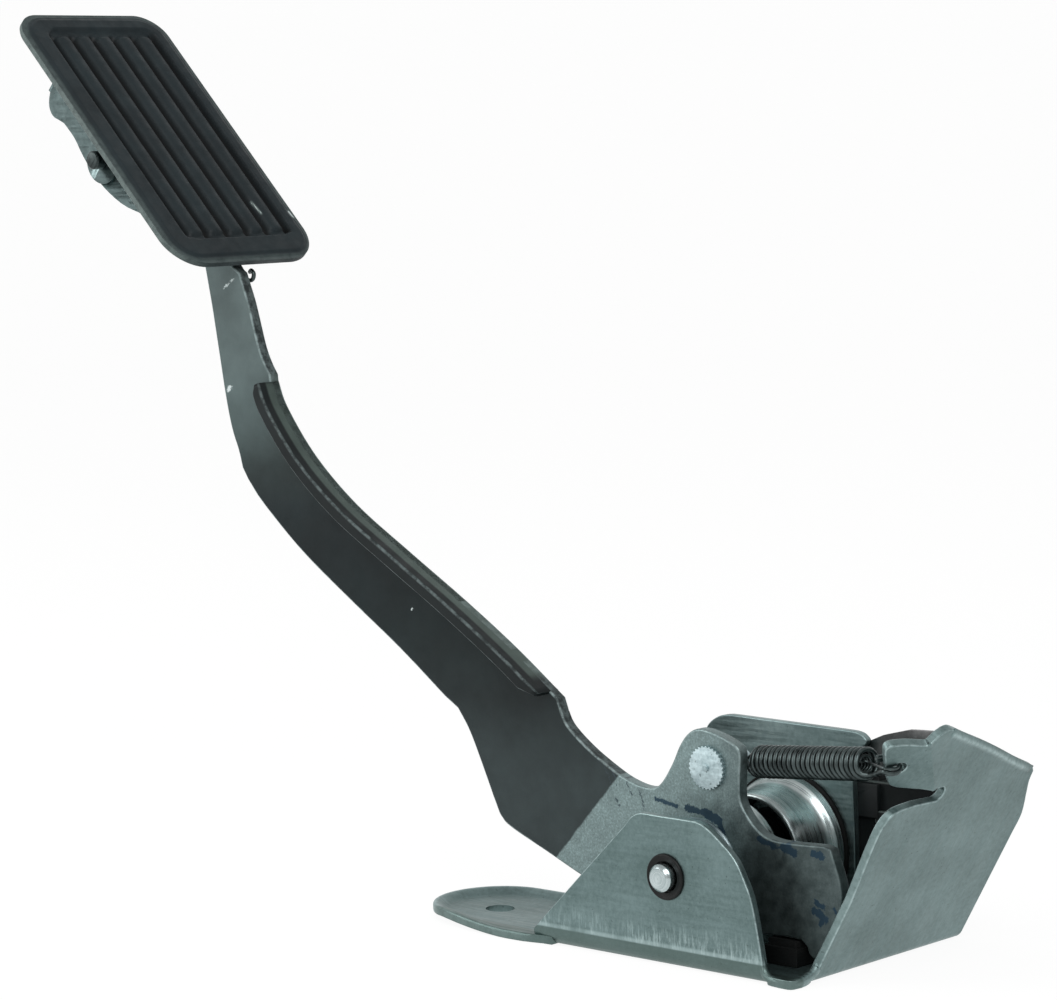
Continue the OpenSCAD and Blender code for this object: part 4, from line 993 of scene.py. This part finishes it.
def tongue(hole, hole_d, rim_high=2.1, rays=150):
    """Dished tongue as rings about its hole: at share s of the way from the hole to the outline the top is
    2.6 mm plus a rim that rises over the last 5 mm as a raised cosine, low beside the ear and high at the
    tip. The outline's edge is rounded, and the underside rises by the same rim, as pressed sheet does. The
    middle sags by up to 0.5 mm. Where it runs on into the base it is 0.08 mm thinner on both sides, so that
    no two faces share a plane."""
    line = np.concatenate([
        [[-BASE + 8, 0.05], [-BASE + 8, 44], [-BASE - 16, 40.5]],
        arc([-BASE - 32.7, 20.4], 19.7, 92, 246, 54),
        smooth_curve([
            [-132.6, 0.9], [-127, -0.2], [-120, -1.0], [-112, -1.4], [-104, -1.4], [-97, -1.0], [-92.5, 0.0]
        ], 4)
    ])
    a = np.linspace(0, 2 * np.pi, rays, endpoint=False)
    d = np.stack([np.cos(a), np.sin(a)], -1)
    p, q = line, np.roll(line, -1, 0)
    e = q - p
    h = np.asarray(hole, float)
    cross = d[:, None, 0] * e[None, :, 1] - d[:, None, 1] * e[None, :, 0]
    cross = np.where(abs(cross) < 1e-9, 1e-9, cross)
    t = ((p - h)[None, :, 0] * e[None, :, 1] - (p - h)[None, :, 1] * e[None, :, 0]) / cross
    k = ((p - h)[None, :, 0] * d[:, None, 1] - (p - h)[None, :, 1] * d[:, None, 0]) / cross
    far = np.where((t > 0) & (k >= -1e-6) & (k <= 1 + 1e-6), t, 1e9).min(1)
    s = np.concatenate(
        [[0.0, 0.004], np.linspace(0.06, 0.6, 8), 1 - (1 - np.linspace(0.63, 1.0, 26)) ** 1.25]
    )
    dist = (hole_d / 2) + (far[None] - hole_d / 2) * s[:, None]
    xy = h + dist[..., None] * d[None]
    free = line[2:]
    seg_a, seg_b = free[:-1], free[1:]
    ab = seg_b - seg_a
    rel = xy[:, :, None] - seg_a
    tt = np.clip((rel * ab).sum(-1) / (ab ** 2).sum(-1), 0, 1)
    gap = np.linalg.norm(rel - tt[..., None] * ab, axis=-1).min(-1)
    rise = 0.5 * (1 + np.cos(np.pi * np.clip((gap - 0.9) / 4.6, 0, 1)))
    ends = np.clip((-BASE - 8 - xy[..., 0] + 0.9 * np.clip(xy[..., 1], 0, None)) / 34.0, 0, 1)
    ends = ends * ends * (3 - 2 * ends)
    rounding = 0.9 - np.sqrt(np.clip(0.81 - np.clip(0.9 - gap, 0, 0.9) ** 2, 0, None))
    sag = 0.5 * np.exp(-((xy[..., 0] + BASE + 24) / 15) ** 2 - ((xy[..., 1] - 20) / 11) ** 2)
    under_base = 0.08 * np.clip((xy[..., 0] + BASE + 1.5) / 1.5, 0, 1)
    round_here = np.clip((-BASE + 2 - xy[..., 0]) / 4.0, 0, 1)
    z = SHEET + (rim_high * rise - sag) * ends - rounding * round_here - under_base
    top = np.concatenate([xy, z[..., None]], -1)
    under = np.concatenate([xy[::-1], (rim_high * rise * ends + under_base)[::-1][..., None]], -1)
    under[0, :, 2] += 0.4
    under[1, :, :2] = h + dist[-2][..., None] * d
    pts = np.concatenate([top, under])
    free_edge = np.clip((-BASE + 3 - xy[..., 0]) / 8.0, 0, 1)
    edge_rub = 0.9 * np.clip(1 - abs(gap - 0.7) / 0.9, 0, 1) * free_edge
    rub = np.concatenate([edge_rub + 0.25 * rise * ends, np.zeros_like(z)])
    rub[len(z) - 1:len(z) + 1] = 0.6 * free_edge[-1]
    return pts.reshape(-1, 3), list(quads(len(pts), rays, True, True)), None, rub


ear = plate(
    ear_outline, [circle_hole(PIVOT[0], PIVOT[2], 12.0)], SHEET, 0.45, (np.zeros(3), X, Z, -Y),
    fixed=[(-CORNER_X, RO, -1, 0), (-BASE + 0.9, RO, 1, 0)]
)
ear_bend = bend((-BASE + 0.9, -CORNER_X), (0, RO, RO), X, -Y, -Z, RI, RO, 0.45)
flap = plate(flap_outline, [], SHEET, 0.5, flap_place, fixed=[
    (WIDTH - 1, -flap_cx, -1, 0), (CORNER_Y, -flap_cx, 1, 0), (26, FLAP - 21.4, *fold),
    (12.7, FLAP - 3.7, *-fold)
])
flap_bend = bend((CORNER_Y, WIDTH - 1.0), (flap_cx, 0, RO), Y, -Z, X, RI, RO, 0.45, 90 - math.degrees(LEAN))
tab = plate(tab_outline, [circle_hole(*HOOK_HOLE, 4.2, 32)], SHEET, 0.5, tab_place, fixed=[
    (0, -0.6, 1, 0), (0, 0, 1, 0), (22.1, 0, -1, 0), (22.1, -0.6, -1, 0)
])
tab_bend = bend(
    (0.0, 22.1), tab_point(0, 0, -SHEET), tab_place[1], flap_place[3], fold_e2, 0.02, SHEET, 0.01,
    math.degrees(TAB), 8
)
base = plate(
    base_outline, [circle_hole(x, WIDTH - 9, 6.6) for x in (-BASE + 22, -12)], SHEET, 0.3,
    ([0, 0, SHEET], X, Y, Z), soft=[0, 0] + [1] * 12 + [0, 0, 1, 1, 0, 0]
)
corner_lip = smooth_curve([
    [-12.7, 1.3, 14], [-11.6, 1.3, 9], [-10.85, 1.3, 5.8], [-9.9, 1.22, 3.4], [-8.2, 1.05, 2.0],
    [-6.0, 0.98, 1.5], [-3.4, 0.95, 1.32], [-1.0, 1.2, 1.36], [0.25, 2.7, 1.6], [0.75, 5.4, 1.95],
    [0.95, 8.2, 2.8], [1.25, 10.2, 4.1], flap_point(11.2, 6.0, -1.3), flap_point(11.6, 9.0, -1.3),
    flap_point(11.75, 13.0, -1.3)
], 6)
corner = (*tube(corner_lip, 1.3, 16), None, 0.35)
lip_path = smooth_curve([
    [20.5, FLAP - 1.6], [22.9, FLAP - 2.6], [29.6, FLAP - 5.3], [44.9, FLAP - 11.5],
    [WIDTH - 18.8, FLAP - 18.8], [WIDTH - 7.6, FLAP - 23.6]
], 8)


def ridge(path, width, high, place):
    """A low bead pressed in a plate: across the path its height is high times (1 + cos) / 2, fading out at
    both ends."""
    o, U, V, W = (np.asarray(v, float) for v in place)
    t = unit(np.gradient(path, axis=0))
    left = np.stack([-t[:, 1], t[:, 0]], -1)
    v = np.linspace(-1, 1, 13)
    k = np.linspace(0, 1, len(path))
    fade = np.clip(np.minimum(k, 1 - k) * 8, 0, 1)
    w = high * (0.5 + 0.5 * np.cos(np.pi * v))[None] * fade[:, None] - 0.03
    flat = path[:, None] + left[:, None] * v[None, :, None] * width / 2
    top = o + flat[..., :1] * U + flat[..., 1:] * V + w[..., None] * W
    low = o + flat[..., :1] * U + flat[..., 1:] * V - 0.4 * W
    pts = np.concatenate([top, low[:, ::-1]], 1)
    n, m = pts.shape[:2]
    ends = [np.arange(m), np.arange(m) + (n - 1) * m]
    top_rub = np.tile((0.5 + 0.5 * np.cos(np.pi * v)) ** 2, (n, 1)) * fade[:, None]
    rub = np.concatenate([top_rub, np.zeros((n, len(v)))], 1)
    return pts.reshape(-1, 3), list(quads(n, m, wrap_cols=True)) + [ends[0][::-1], ends[1]], None, rub


dish = tongue([-DATUM[0], -DATUM[1]], 8.8)
crest_bead = ridge(lip_path, 3.2, 0.45, flap_place)
build_sheet("bracket_pressing", [
    ear, ear_bend, flap, flap_bend, tab, tab_bend, base, dish, crest_bead, corner
], zinc, "bracket", ["bracket"])

# %% [markdown]
# ### Rear plate
# The plate that carries the sensor stands behind the drum on a folded foot.

# %% Rear plate
REAR, HIGH = 56.0, 62.2
rear_outline = np.concatenate([
    [[-20, SHEET + RO], [-20.2, 30], [-20.6, HIGH - 12]],
    smooth_curve(
        [[-20.4, HIGH - 8], [-15.4, HIGH - 3.4], [-16.4, HIGH - 1.2], [-19, HIGH - 0.2], [-24, HIGH]], 4
    ),
    smooth_curve([
        [-63.5, HIGH + 0.4], [-67, HIGH + 0.3], [-70.8, HIGH - 0.6], [-74.4, HIGH - 3], [-76.4, HIGH - 6.6],
        [-77, HIGH - 12]
    ], 4),
    [[-80, SHEET + RO]]
])
rear = plate(
    rear_outline, [circle_hole(PIVOT[0], PIVOT[2], 12.0)], SHEET, 0.45, ([0, REAR, 0], X, Z, -Y),
    fixed=[(-20, SHEET + RO, -1, 0), (-80, SHEET + RO, 1, 0)]
)
rear_bend = bend((-80, -20), (0, REAR + RO, SHEET + RO), X, -Y, -Z, RI, RO, 0.45)
foot = plate(
    np.array([[-80, REAR + RO], [-20, REAR + RO], [-20, WIDTH - 17], [-80, WIDTH - 17]]), [], SHEET, 0.4,
    ([0, 0, 2 * SHEET], X, Y, Z), soft=[0, 0, 1, 1]
)
build_sheet("rear_plate_pressing", [
    (p, f, n, w * 0.12) for p, f, n, w in (rear, rear_bend, foot)
], zinc_lightened_for_shade, "bracket", ["rear_plate"])

# %% [markdown]
# ### Turned parts at the hub
# The drum that turns with the arm shows its bright shoulder above the arm's
# edge, a black ring between the damper cup's flange and the rear plate stands
# in as painted shade for the gap there, and a black bush flange frames the
# shaft's end in the ear. All three are turned, so each is a closed profile of
# (radius, place along the axis) spun about the pivot.

# %% Drum, shade ring and bush flange


def lathe(profile, centre, sides=96):
    """A closed profile (r, y) about the axis along Y: x + r cos a, y, z + r sin a for a from 0 to 360
    degrees."""
    r, y = np.asarray(profile, float).T
    a = np.linspace(0, 2 * np.pi, sides, endpoint=False)[:, None]
    points = np.stack(
        [centre[0] + r * np.cos(a), np.broadcast_to(y, (sides, len(r))), centre[2] + r * np.sin(a)], -1
    )
    return points.reshape(-1, 3), list(quads(sides, len(r), True, True)), None, 0.0


def round_corners(profile, cut, steps=4):
    """Each corner p becomes points of the curve (1-t)^2 a + 2t(1-t) p + t^2 b, with a and b on its two
    sides a cut away, or 0.45 of a shorter side."""
    p = np.asarray(profile, float)
    before, after = np.roll(p, 1, 0) - p, np.roll(p, -1, 0) - p
    lb, la = np.linalg.norm(before, axis=1, keepdims=True), np.linalg.norm(after, axis=1, keepdims=True)
    a, b = p + before / lb * np.minimum(cut, lb * 0.45), p + after / la * np.minimum(cut, la * 0.45)
    t = np.linspace(0, 1, steps + 1)[None, :, None]
    return ((1 - t) ** 2 * a[:, None] + 2 * t * (1 - t) * p[:, None] + t ** 2 * b[:, None]).reshape(-1, 2)


FAR_FACE = ARM_Y + ARM_T
drum = round_corners([
    [4.0, FAR_FACE], [16.6, FAR_FACE], [18.2, FAR_FACE + 1.4], [18.2, FAR_FACE + 11.0],
    [17.4, FAR_FACE + 11.7], [15.9, FAR_FACE + 11.7], [15.9, FAR_FACE + 2.0], [6.4, FAR_FACE + 2.0],
    [6.4, FAR_FACE + 6.0], [4.0, FAR_FACE + 6.0]
], 0.35)
build_sheet("drive_drum_turned", [lathe(drum, PIVOT)], drawn_steel, "pedal", ["drive_drum"])
# painted shade: a black rubber ring fills the shadow gap between the cup's flange and the rear plate
shade_ring = round_corners(
    [[18.0, REAR - 1.3], [21.7, REAR - 1.3], [22.2, REAR - 0.9], [22.2, REAR], [18.0, REAR]], 0.3
)
build_sheet("cup_gap_shade_ring", [lathe(shade_ring, PIVOT)], rubber, "bracket", [])
flange_ring = round_corners([[4.5, -0.5], [6.35, -0.9], [6.7, -0.5], [6.7, 0.05], [4.5, 0.05]], 0.25)
build_sheet("near_bush_flange", [lathe(flange_ring, PIVOT)], bearing, "bracket", [])

# %% [markdown]
# ### Connector guard
# Beyond the rear plate the black sensor housing has a moulded wing that
# shields its connector towards the flap. It is a thick L with rounded edges,
# so the rounded outline of the sheet parts makes it too.

# %% Connector guard
guard = plate(np.array([
    [-24.0, 12.5], [-8.6, 12.5], [-7.2, 14.0], [-6.4, 29.0], [-4.6, 31.4], [7.6, 32.6], [9.0, 34.0],
    [9.4, 46.2], [8.2, 47.4], [-24.0, 47.4]
]), [], 11.5, 0.7, ([0, 60.2, 0], X, Z, -Y))
shelf = plate(
    np.array([[-15.0, 35.4], [-3.0, 35.4], [-2.2, 36.2], [-2.2, 38.2], [-3.0, 39.0], [-15.0, 39.0]]), [],
    4.0, 0.5, ([0, 58.9, 0], X, Z, -Y)
)
build_sheet("connector_guard", [guard, shelf], polymer, "bracket", [])

# %% [markdown]
# ### Pedal arm
# A 4 mm stamping. Along the driver's side its edge is folded towards the near
# side as a stiffening flange, which starts and ends with a short runout.

# %% Pedal arm
FLANGE = 5.5
arm_outline = np.concatenate([
    smooth_curve([
        [-229.9, 194.6], [-228.4, 190.8], [-226.2, 185.2], [-224.1, 178.2], [-221.9, 171], [-219.6, 166.2],
        [-217.2, 162.6]
    ], 4),
    smooth_curve([
        [-217, 160.4], [-212.9, 151.9], [-200.7, 137.2], [-183.2, 123], [-160.3, 109.4], [-137.3, 96.2],
        [-116.3, 83.2], [-97.6, 70.2]
    ], 8),
    smooth_curve([
        [-96.2, 66.4], [-93.6, 62.3], [-86.2, 56.7], [-77, 51.6], [-70.2, 48.7], [-63.4, 47.4],
        [-58.6, 48.7], [-53.9, 54.9], [-50.6, 61], [-47.2, 64.9], [-43.2, 66.5], [-38, 65.9], [-31.5, 63.8],
        [-28.4, 61.2], [-28.6, 54], [-28.5, 47.6], [-26, 43.2], [-21.8, 39.3], [-17, 37.6], [-10.7, 37.4],
        [1, 37.9]
    ], 6),
    smooth_curve([
        [3.4, 37.1], [6, 30.4], [7.2, 25.1], [6.6, 20], [3.2, 12], [0.3, 6.8], [-1.2, 5.3], [-3.2, 5.4],
        [-4.8, 6.6], [-5.5, 8.6]
    ], 3),
    smooth_curve([[-7.4, 10.1], [-12, 10.2], [-20, 10]], 3),
    smooth_curve([
        [-32, 9.6], [-44, 9.2], [-58, 9.6], [-74, 12.6], [-89.5, 18], [-103.3, 23.5], [-117.5, 29.1],
        [-121.6, 31.9], [-123.9, 35.7], [-130.4, 49.6], [-134.4, 57.4], [-138.8, 63.5]
    ], 6),
    smooth_curve(
        [[-144.2, 66.7], [-163, 79.9], [-184.1, 93.3], [-204.8, 107], [-222.2, 121.3], [-229.2, 128.8]], 6
    ),
    smooth_curve([
        [-231.6, 132.4], [-233.2, 138], [-236, 145], [-238.4, 155], [-241.2, 171], [-243.6, 184.5],
        [-246.2, 197]
    ], 5),
    smooth_curve([[-253, 203.4], [-263, 207.6], [-274, 212.2], [-286, 217.8]], 3),
    arc([PIN[0], PIN[2]], 9.4, 245, 80, 14), [[-268, 226.6], [-252, 212.8], [-238, 199.8]]
])[::-1]
flange_line = smooth_curve([
    [-217, 160.4], [-212.9, 151.9], [-200.7, 137.2], [-183.2, 123], [-160.3, 109.4], [-137.3, 96.2],
    [-116.3, 83.2], [-100.5, 72.2]
], 8)


def flange(path, y0, y1, deep):
    """The folded flange: a rounded rectangle (y, depth in from the edge) carried along the edge, thinned at
    both ends by a short runout."""
    loop = rounded_box_loop(y0, y1, 0.0, deep, [0.9, 0.5, 0.5, 0.9])[0]
    t = unit(np.gradient(path, axis=0))
    inward = np.stack([t[:, 1], -t[:, 0]], -1)
    run = np.concatenate([[0], np.cumsum(np.linalg.norm(np.diff(path, axis=0), axis=1))])
    thin = np.clip((run[-1] - run + 3.0) / 10.0, 0, 1) * np.clip((run + 2.5) / 5.0, 0, 1)
    d = loop[None, :, 1] * thin[:, None]
    pts = np.stack([
        path[:, None, 0] + inward[:, None, 0] * d, np.broadcast_to(loop[None, :, 0], d.shape),
        path[:, None, 1] + inward[:, None, 1] * d
    ], -1)
    n, m = d.shape
    caps = [np.arange(m)[::-1], np.arange(m) + (n - 1) * m]
    wear = np.tile([0.0, 0.4, 0.4, 0.0], (n, 4))
    return pts.reshape(-1, 3), list(quads(n, m, wrap_cols=True)) + caps, None, wear


arm = plate(arm_outline, [
    circle_hole(stud[0], stud[2], 6.0), circle_hole(PIVOT[0], PIVOT[2], 8.0),
    circle_hole(PIN[0], PIN[2], 6.1)
], ARM_T, 0.7, ([0, ARM_Y, 0], X, Z, -Y))
build_sheet("pedal_arm_stamping", [
    arm, flange(flange_line, ARM_Y - FLANGE, ARM_Y + ARM_T, ARM_T)
], arm_paint, "pedal", ["pedal_arm"])

# %% [markdown]
# ### Pad
# The tread is one moulding. Its face is a height over its width and length: a
# crowned border, a shallow tray, and five round ribs with grooves between
# them. A grid carries that height. The rim is only a thin flange, which turns
# over a rounded edge and steps in to the thicker body behind it. Handling has
# rubbed the border and the flange grey, and the flange's side that faces the
# near side is painted lighter still, as painted light. The grooves are painted
# darkest, as painted shade: the wear attribute is above 0 on the one and below
# 0 in the other. Two nicks near the low corner show pale, so it rises above 1
# there.

# %% Pad
def box_gap(x, y, x0, x1, y0, y1, r):
    """Signed distance to a rectangle with corner radius r, negative inside."""
    qx, qy = abs(x - (x0 + x1) / 2) - (x1 - x0) / 2 + r, abs(y - (y0 + y1) / 2) - (y1 - y0) / 2 + r
    return np.hypot(np.maximum(qx, 0), np.maximum(qy, 0)) + np.minimum(np.maximum(qx, qy), 0) - r


def soft_step(v, a, b):
    """0 below a, 1 above b, and 3t^2 - 2t^3 between."""
    t = np.clip((v - a) / (b - a), 0, 1)
    return t * t * (3 - 2 * t)


NEAR_SIDE, FAR_SIDE, LOW_END, HIGH_END, RIBS, PITCH = -29.3, 31.8, -64.7, 47.15, 2.7, 8.6
LOW_R, HIGH_R, RIB_R = 13.0, 10.0, 5.35


def groove_share(x, y):
    """1 along the middle of the six grooves and 0 on the ribs: exp(-(distance / 1.05 mm) squared), faded
    out over the grooves' round ends."""
    k = np.clip(np.round((x - RIBS) / PITCH - 0.5), -3, 2) + 0.5
    low_end = soft_step(y, PAD_TOP - PAD_L + 11.8, PAD_TOP - PAD_L + 14.6)
    ends = low_end * soft_step(-y, -PAD_TOP + 8.8, -PAD_TOP + 11.6)
    return np.exp(-((x - RIBS - k * PITCH) / 1.05) ** 2) * ends


def pad_height(x, y):
    """Height of the tread above the back of its border: border less a tray and six grooves, plus ribs that
    are circles across and end in domes."""
    y0, y1 = PAD_TOP - PAD_L, PAD_TOP
    tray = box_gap(x, y, -20.1, 25.8, y0 + 11.6, y1 - 7.2, 5.0)
    z = PAD_FACE - 1.25 * soft_step(-tray, -0.3, 0.9)
    low, high = y0 + 15.4, y1 - 12.0
    for i in range(-2, 3):
        dx = x - RIBS - i * PITCH
        dy = 1.8 * np.maximum(np.maximum(low - y, y - high), 0)
        rib = PAD_FACE - RIB_R + np.sqrt(np.clip(RIB_R ** 2 - dx ** 2 - dy ** 2, 0, None))
        z = np.maximum(z, rib)
    edge = box_gap(x, y, NEAR_SIDE, FAR_SIDE, LOW_END, HIGH_END, 11.0)
    drop = 0.55 * soft_step(edge, -3.4, -2.0) + 0.35 * soft_step(edge, -1.6, -0.9)
    return z - drop - 1.9 * groove_share(x, y)


def pad_grid(nx, ny):
    """A grid over the pad with rounded ends: x is a share of the half width at y, where the corners'
    circles narrow it: w/2 - r + sqrt(r^2 - (r - depth)^2)."""
    s = np.linspace(-1, 1, ny)
    y = (LOW_END + HIGH_END) / 2 + (HIGH_END - LOW_END) / 2 * np.sin(np.pi / 2 * s)
    low_gap = np.clip(LOW_R - (y - LOW_END), 0, None)
    high_gap = np.clip(HIGH_R - (HIGH_END - y), 0, None)
    low_cut = LOW_R - np.sqrt(np.clip(LOW_R ** 2 - low_gap ** 2, 0, None))
    high_cut = HIGH_R - np.sqrt(np.clip(HIGH_R ** 2 - high_gap ** 2, 0, None))
    half = (FAR_SIDE - NEAR_SIDE) / 2 - low_cut - high_cut
    u = np.linspace(-1, 1, nx)
    return (NEAR_SIDE + FAR_SIDE) / 2 + half[:, None] * u[None], np.broadcast_to(y[:, None], (ny, nx))


gx, gy = pad_grid(201, 261)
face = np.stack([gx, gy, pad_height(gx, gy)], -1)
ny, nx = gx.shape
grid = np.arange(ny * nx).reshape(ny, nx)
border = np.concatenate([grid[0], grid[1:, -1], grid[-1, -2::-1], grid[-2:0:-1, 0]])
rim = face.reshape(-1, 3)[border]
side_in = loop_in(rim[:, :2])
steps = [
    (0.0, 0.18), (0.0, 0.6), (0.0, 1.7), (0.3, 2.2), (0.9, 2.4), (6.4, 2.9), (7.2, 3.4), (7.4, 5.0),
    (7.7, 5.0)
]
walls = np.stack(
    [np.concatenate([rim[:, :2] + side_in * i, (rim[:, 2] - d)[:, None]], -1) for i, d in steps]
)
walls[-1, :, 2] = PAD_FACE - PAD_T
walls[-2, :, 2] = PAD_FACE - PAD_T + 0.35
centre = np.array([[(NEAR_SIDE + FAR_SIDE) / 2, (LOW_END + HIGH_END) / 2, PAD_FACE - PAD_T]])
m = len(border)
count = ny * nx
ring = np.concatenate([[border], np.arange(len(steps) * m).reshape(len(steps), m) + count])
skirt = np.stack(
    [ring[:-1], ring[1:], np.roll(ring[1:], -1, 1), np.roll(ring[:-1], -1, 1)], -1
).reshape(-1, 4)
floor = np.stack([ring[-1], np.full(m, count + len(steps) * m), np.roll(ring[-1], -1)], -1)
pad_points = on_pad(np.concatenate([face.reshape(-1, 3), walls.reshape(-1, 3), centre]))
pad_faces = list(quads(ny, nx)) + list(skirt) + list(floor)
handled = soft_step(-box_gap(gx, gy, NEAR_SIDE, FAR_SIDE, LOW_END, HIGH_END, 11.0), 2.6, 0.6) * 0.5
# painted light: the flange's steps are lighter where they face the near side
near_facing_light = 0.12 + 0.88 * np.clip(side_in[:, 0], 0, 1)
side_light_and_rub = (np.array([0.8, 1.0, 1.0, 0.8, 0.2, 0.0, 0.0, 0.0, 0.0])[:, None] * near_facing_light[None]).ravel()


def nick(x, y, a, b, wide):
    """2 on a line from a to b and 0 beyond its width: 2 exp(-(distance to the line / width) squared)."""
    a, b = np.asarray(a, float), np.asarray(b, float)
    t = np.clip(((x - a[0]) * (b[0] - a[0]) + (y - a[1]) * (b[1] - a[1])) / ((b - a) ** 2).sum(), 0, 1)
    return 2.0 * np.exp(-(np.hypot(x - a[0] - t * (b[0] - a[0]), y - a[1] - t * (b[1] - a[1])) / wide) ** 2)


NICKS = [(17.2, -39.6), (17.7, -45.1), (30.0, -44.9), (30.4, -46.9)]
nicks = nick(gx, gy, NICKS[0], NICKS[1], 0.26) + nick(gx, gy, NICKS[2], NICKS[3], 0.7)
# the grooves' negative wear is painted shade
pad_wear_light_and_shade = np.concatenate([(handled - groove_share(gx, gy) + nicks).ravel(), side_light_and_rub, [0.0]])
build_sheet("pad_tread", [(pad_points, pad_faces, None, pad_wear_light_and_shade)], pad_rubber, "pad", ["pad"])

# %% [markdown]
# ## Studio
# The part lies on a white sweep under a soft sky. The floor answers camera
# rays with nearly white light of its own and keeps a part of its diffuse
# shading, so a faint shadow stays. The lamps are large and plain, so a colour
# renders about as it is written.

# %% Floor, backdrop and light
material, tree, output, where = new_material("white_paper_sweep")
seen = put(tree, "LightPath")
any_view = put(
    tree, "Math", {0: seen.outputs["Is Camera Ray"], 1: seen.outputs["Is Glossy Ray"]}, operation="MAXIMUM"
)
paper = put(tree, "BsdfDiffuse", {"Color": linear("#f4f5f4")})
glow = put(tree, "Emission", {"Color": (1, 1, 1, 1), "Strength": 1.03})
share = put(tree, "Math", {0: any_view.outputs[0], 1: 0.9}, operation="MULTIPLY")
finish_with(
    tree, output, put(tree, "MixShader", {0: share.outputs[0], 1: paper.outputs[0], 2: glow.outputs[0]})
)

u = np.linspace(-4.0, 4.0, 9)
v = np.concatenate([np.linspace(0.0, 5.0, 6), [5.4, 5.8, 6.0, 6.1, 6.1]])
h = np.array([0, 0, 0, 0, 0, 0, 0.12, 0.5, 1.0, 2.0, 5.0])
across_view, away = np.array(side), -np.array([back.x, back.y, 0.0]) / math.hypot(back.x, back.y)
ground = (
    across_view[None, None] * u[None, :, None] + away[None, None] * (v[:, None, None] - 2.5)
) + np.array([0, 0, 1.0]) * h[:, None, None]
sweep_mesh = bpy.data.meshes.new("sweep")
sweep_mesh.from_pydata(ground.reshape(-1, 3) + np.array([0, 0, -0.0002]), [], quads(11, 9).tolist())
sweep_mesh.shade_smooth()
sweep_mesh.materials.append(material)
sweep = bpy.data.objects.new("sweep", sweep_mesh)
bpy.context.scene.collection.objects.link(sweep)

world = bpy.data.worlds.new("soft_room")
bpy.context.scene.world = world
world.use_nodes = True
tree = world.node_tree
tree.nodes.clear()
seen = put(tree, "LightPath")
strength = put(tree, "MapRange", {"Value": seen.outputs["Is Camera Ray"], "To Min": 0.55, "To Max": 1.0})
room = put(tree, "Background", {"Color": (1, 1, 1, 1), "Strength": strength.outputs[0]})
tree.links.new(room.outputs[0], put(tree, "OutputWorld").inputs["Surface"])


def lamp(name, place, aim, size, power):
    """A square area lamp at a point, turned to face the aim."""
    data = bpy.data.lights.new(name, "AREA")
    data.shape, data.size, data.energy = "SQUARE", size, power
    light = bpy.data.objects.new(name, data)
    light.location = Vector(place)
    light.rotation_euler = (Vector(place) - Vector(aim)).to_track_quat("Z", "Y").to_euler()
    bpy.context.scene.collection.objects.link(light)


lamp("key", (0.9, -0.9, 1.3), (0, 0, 0.1), 0.9, 12.0)
lamp("fill", (-0.9, -0.9, 0.7), (0, 0, 0.1), 1.0, 8.5)
bpy.context.scene.view_settings.view_transform = "Standard"

# %% [markdown]
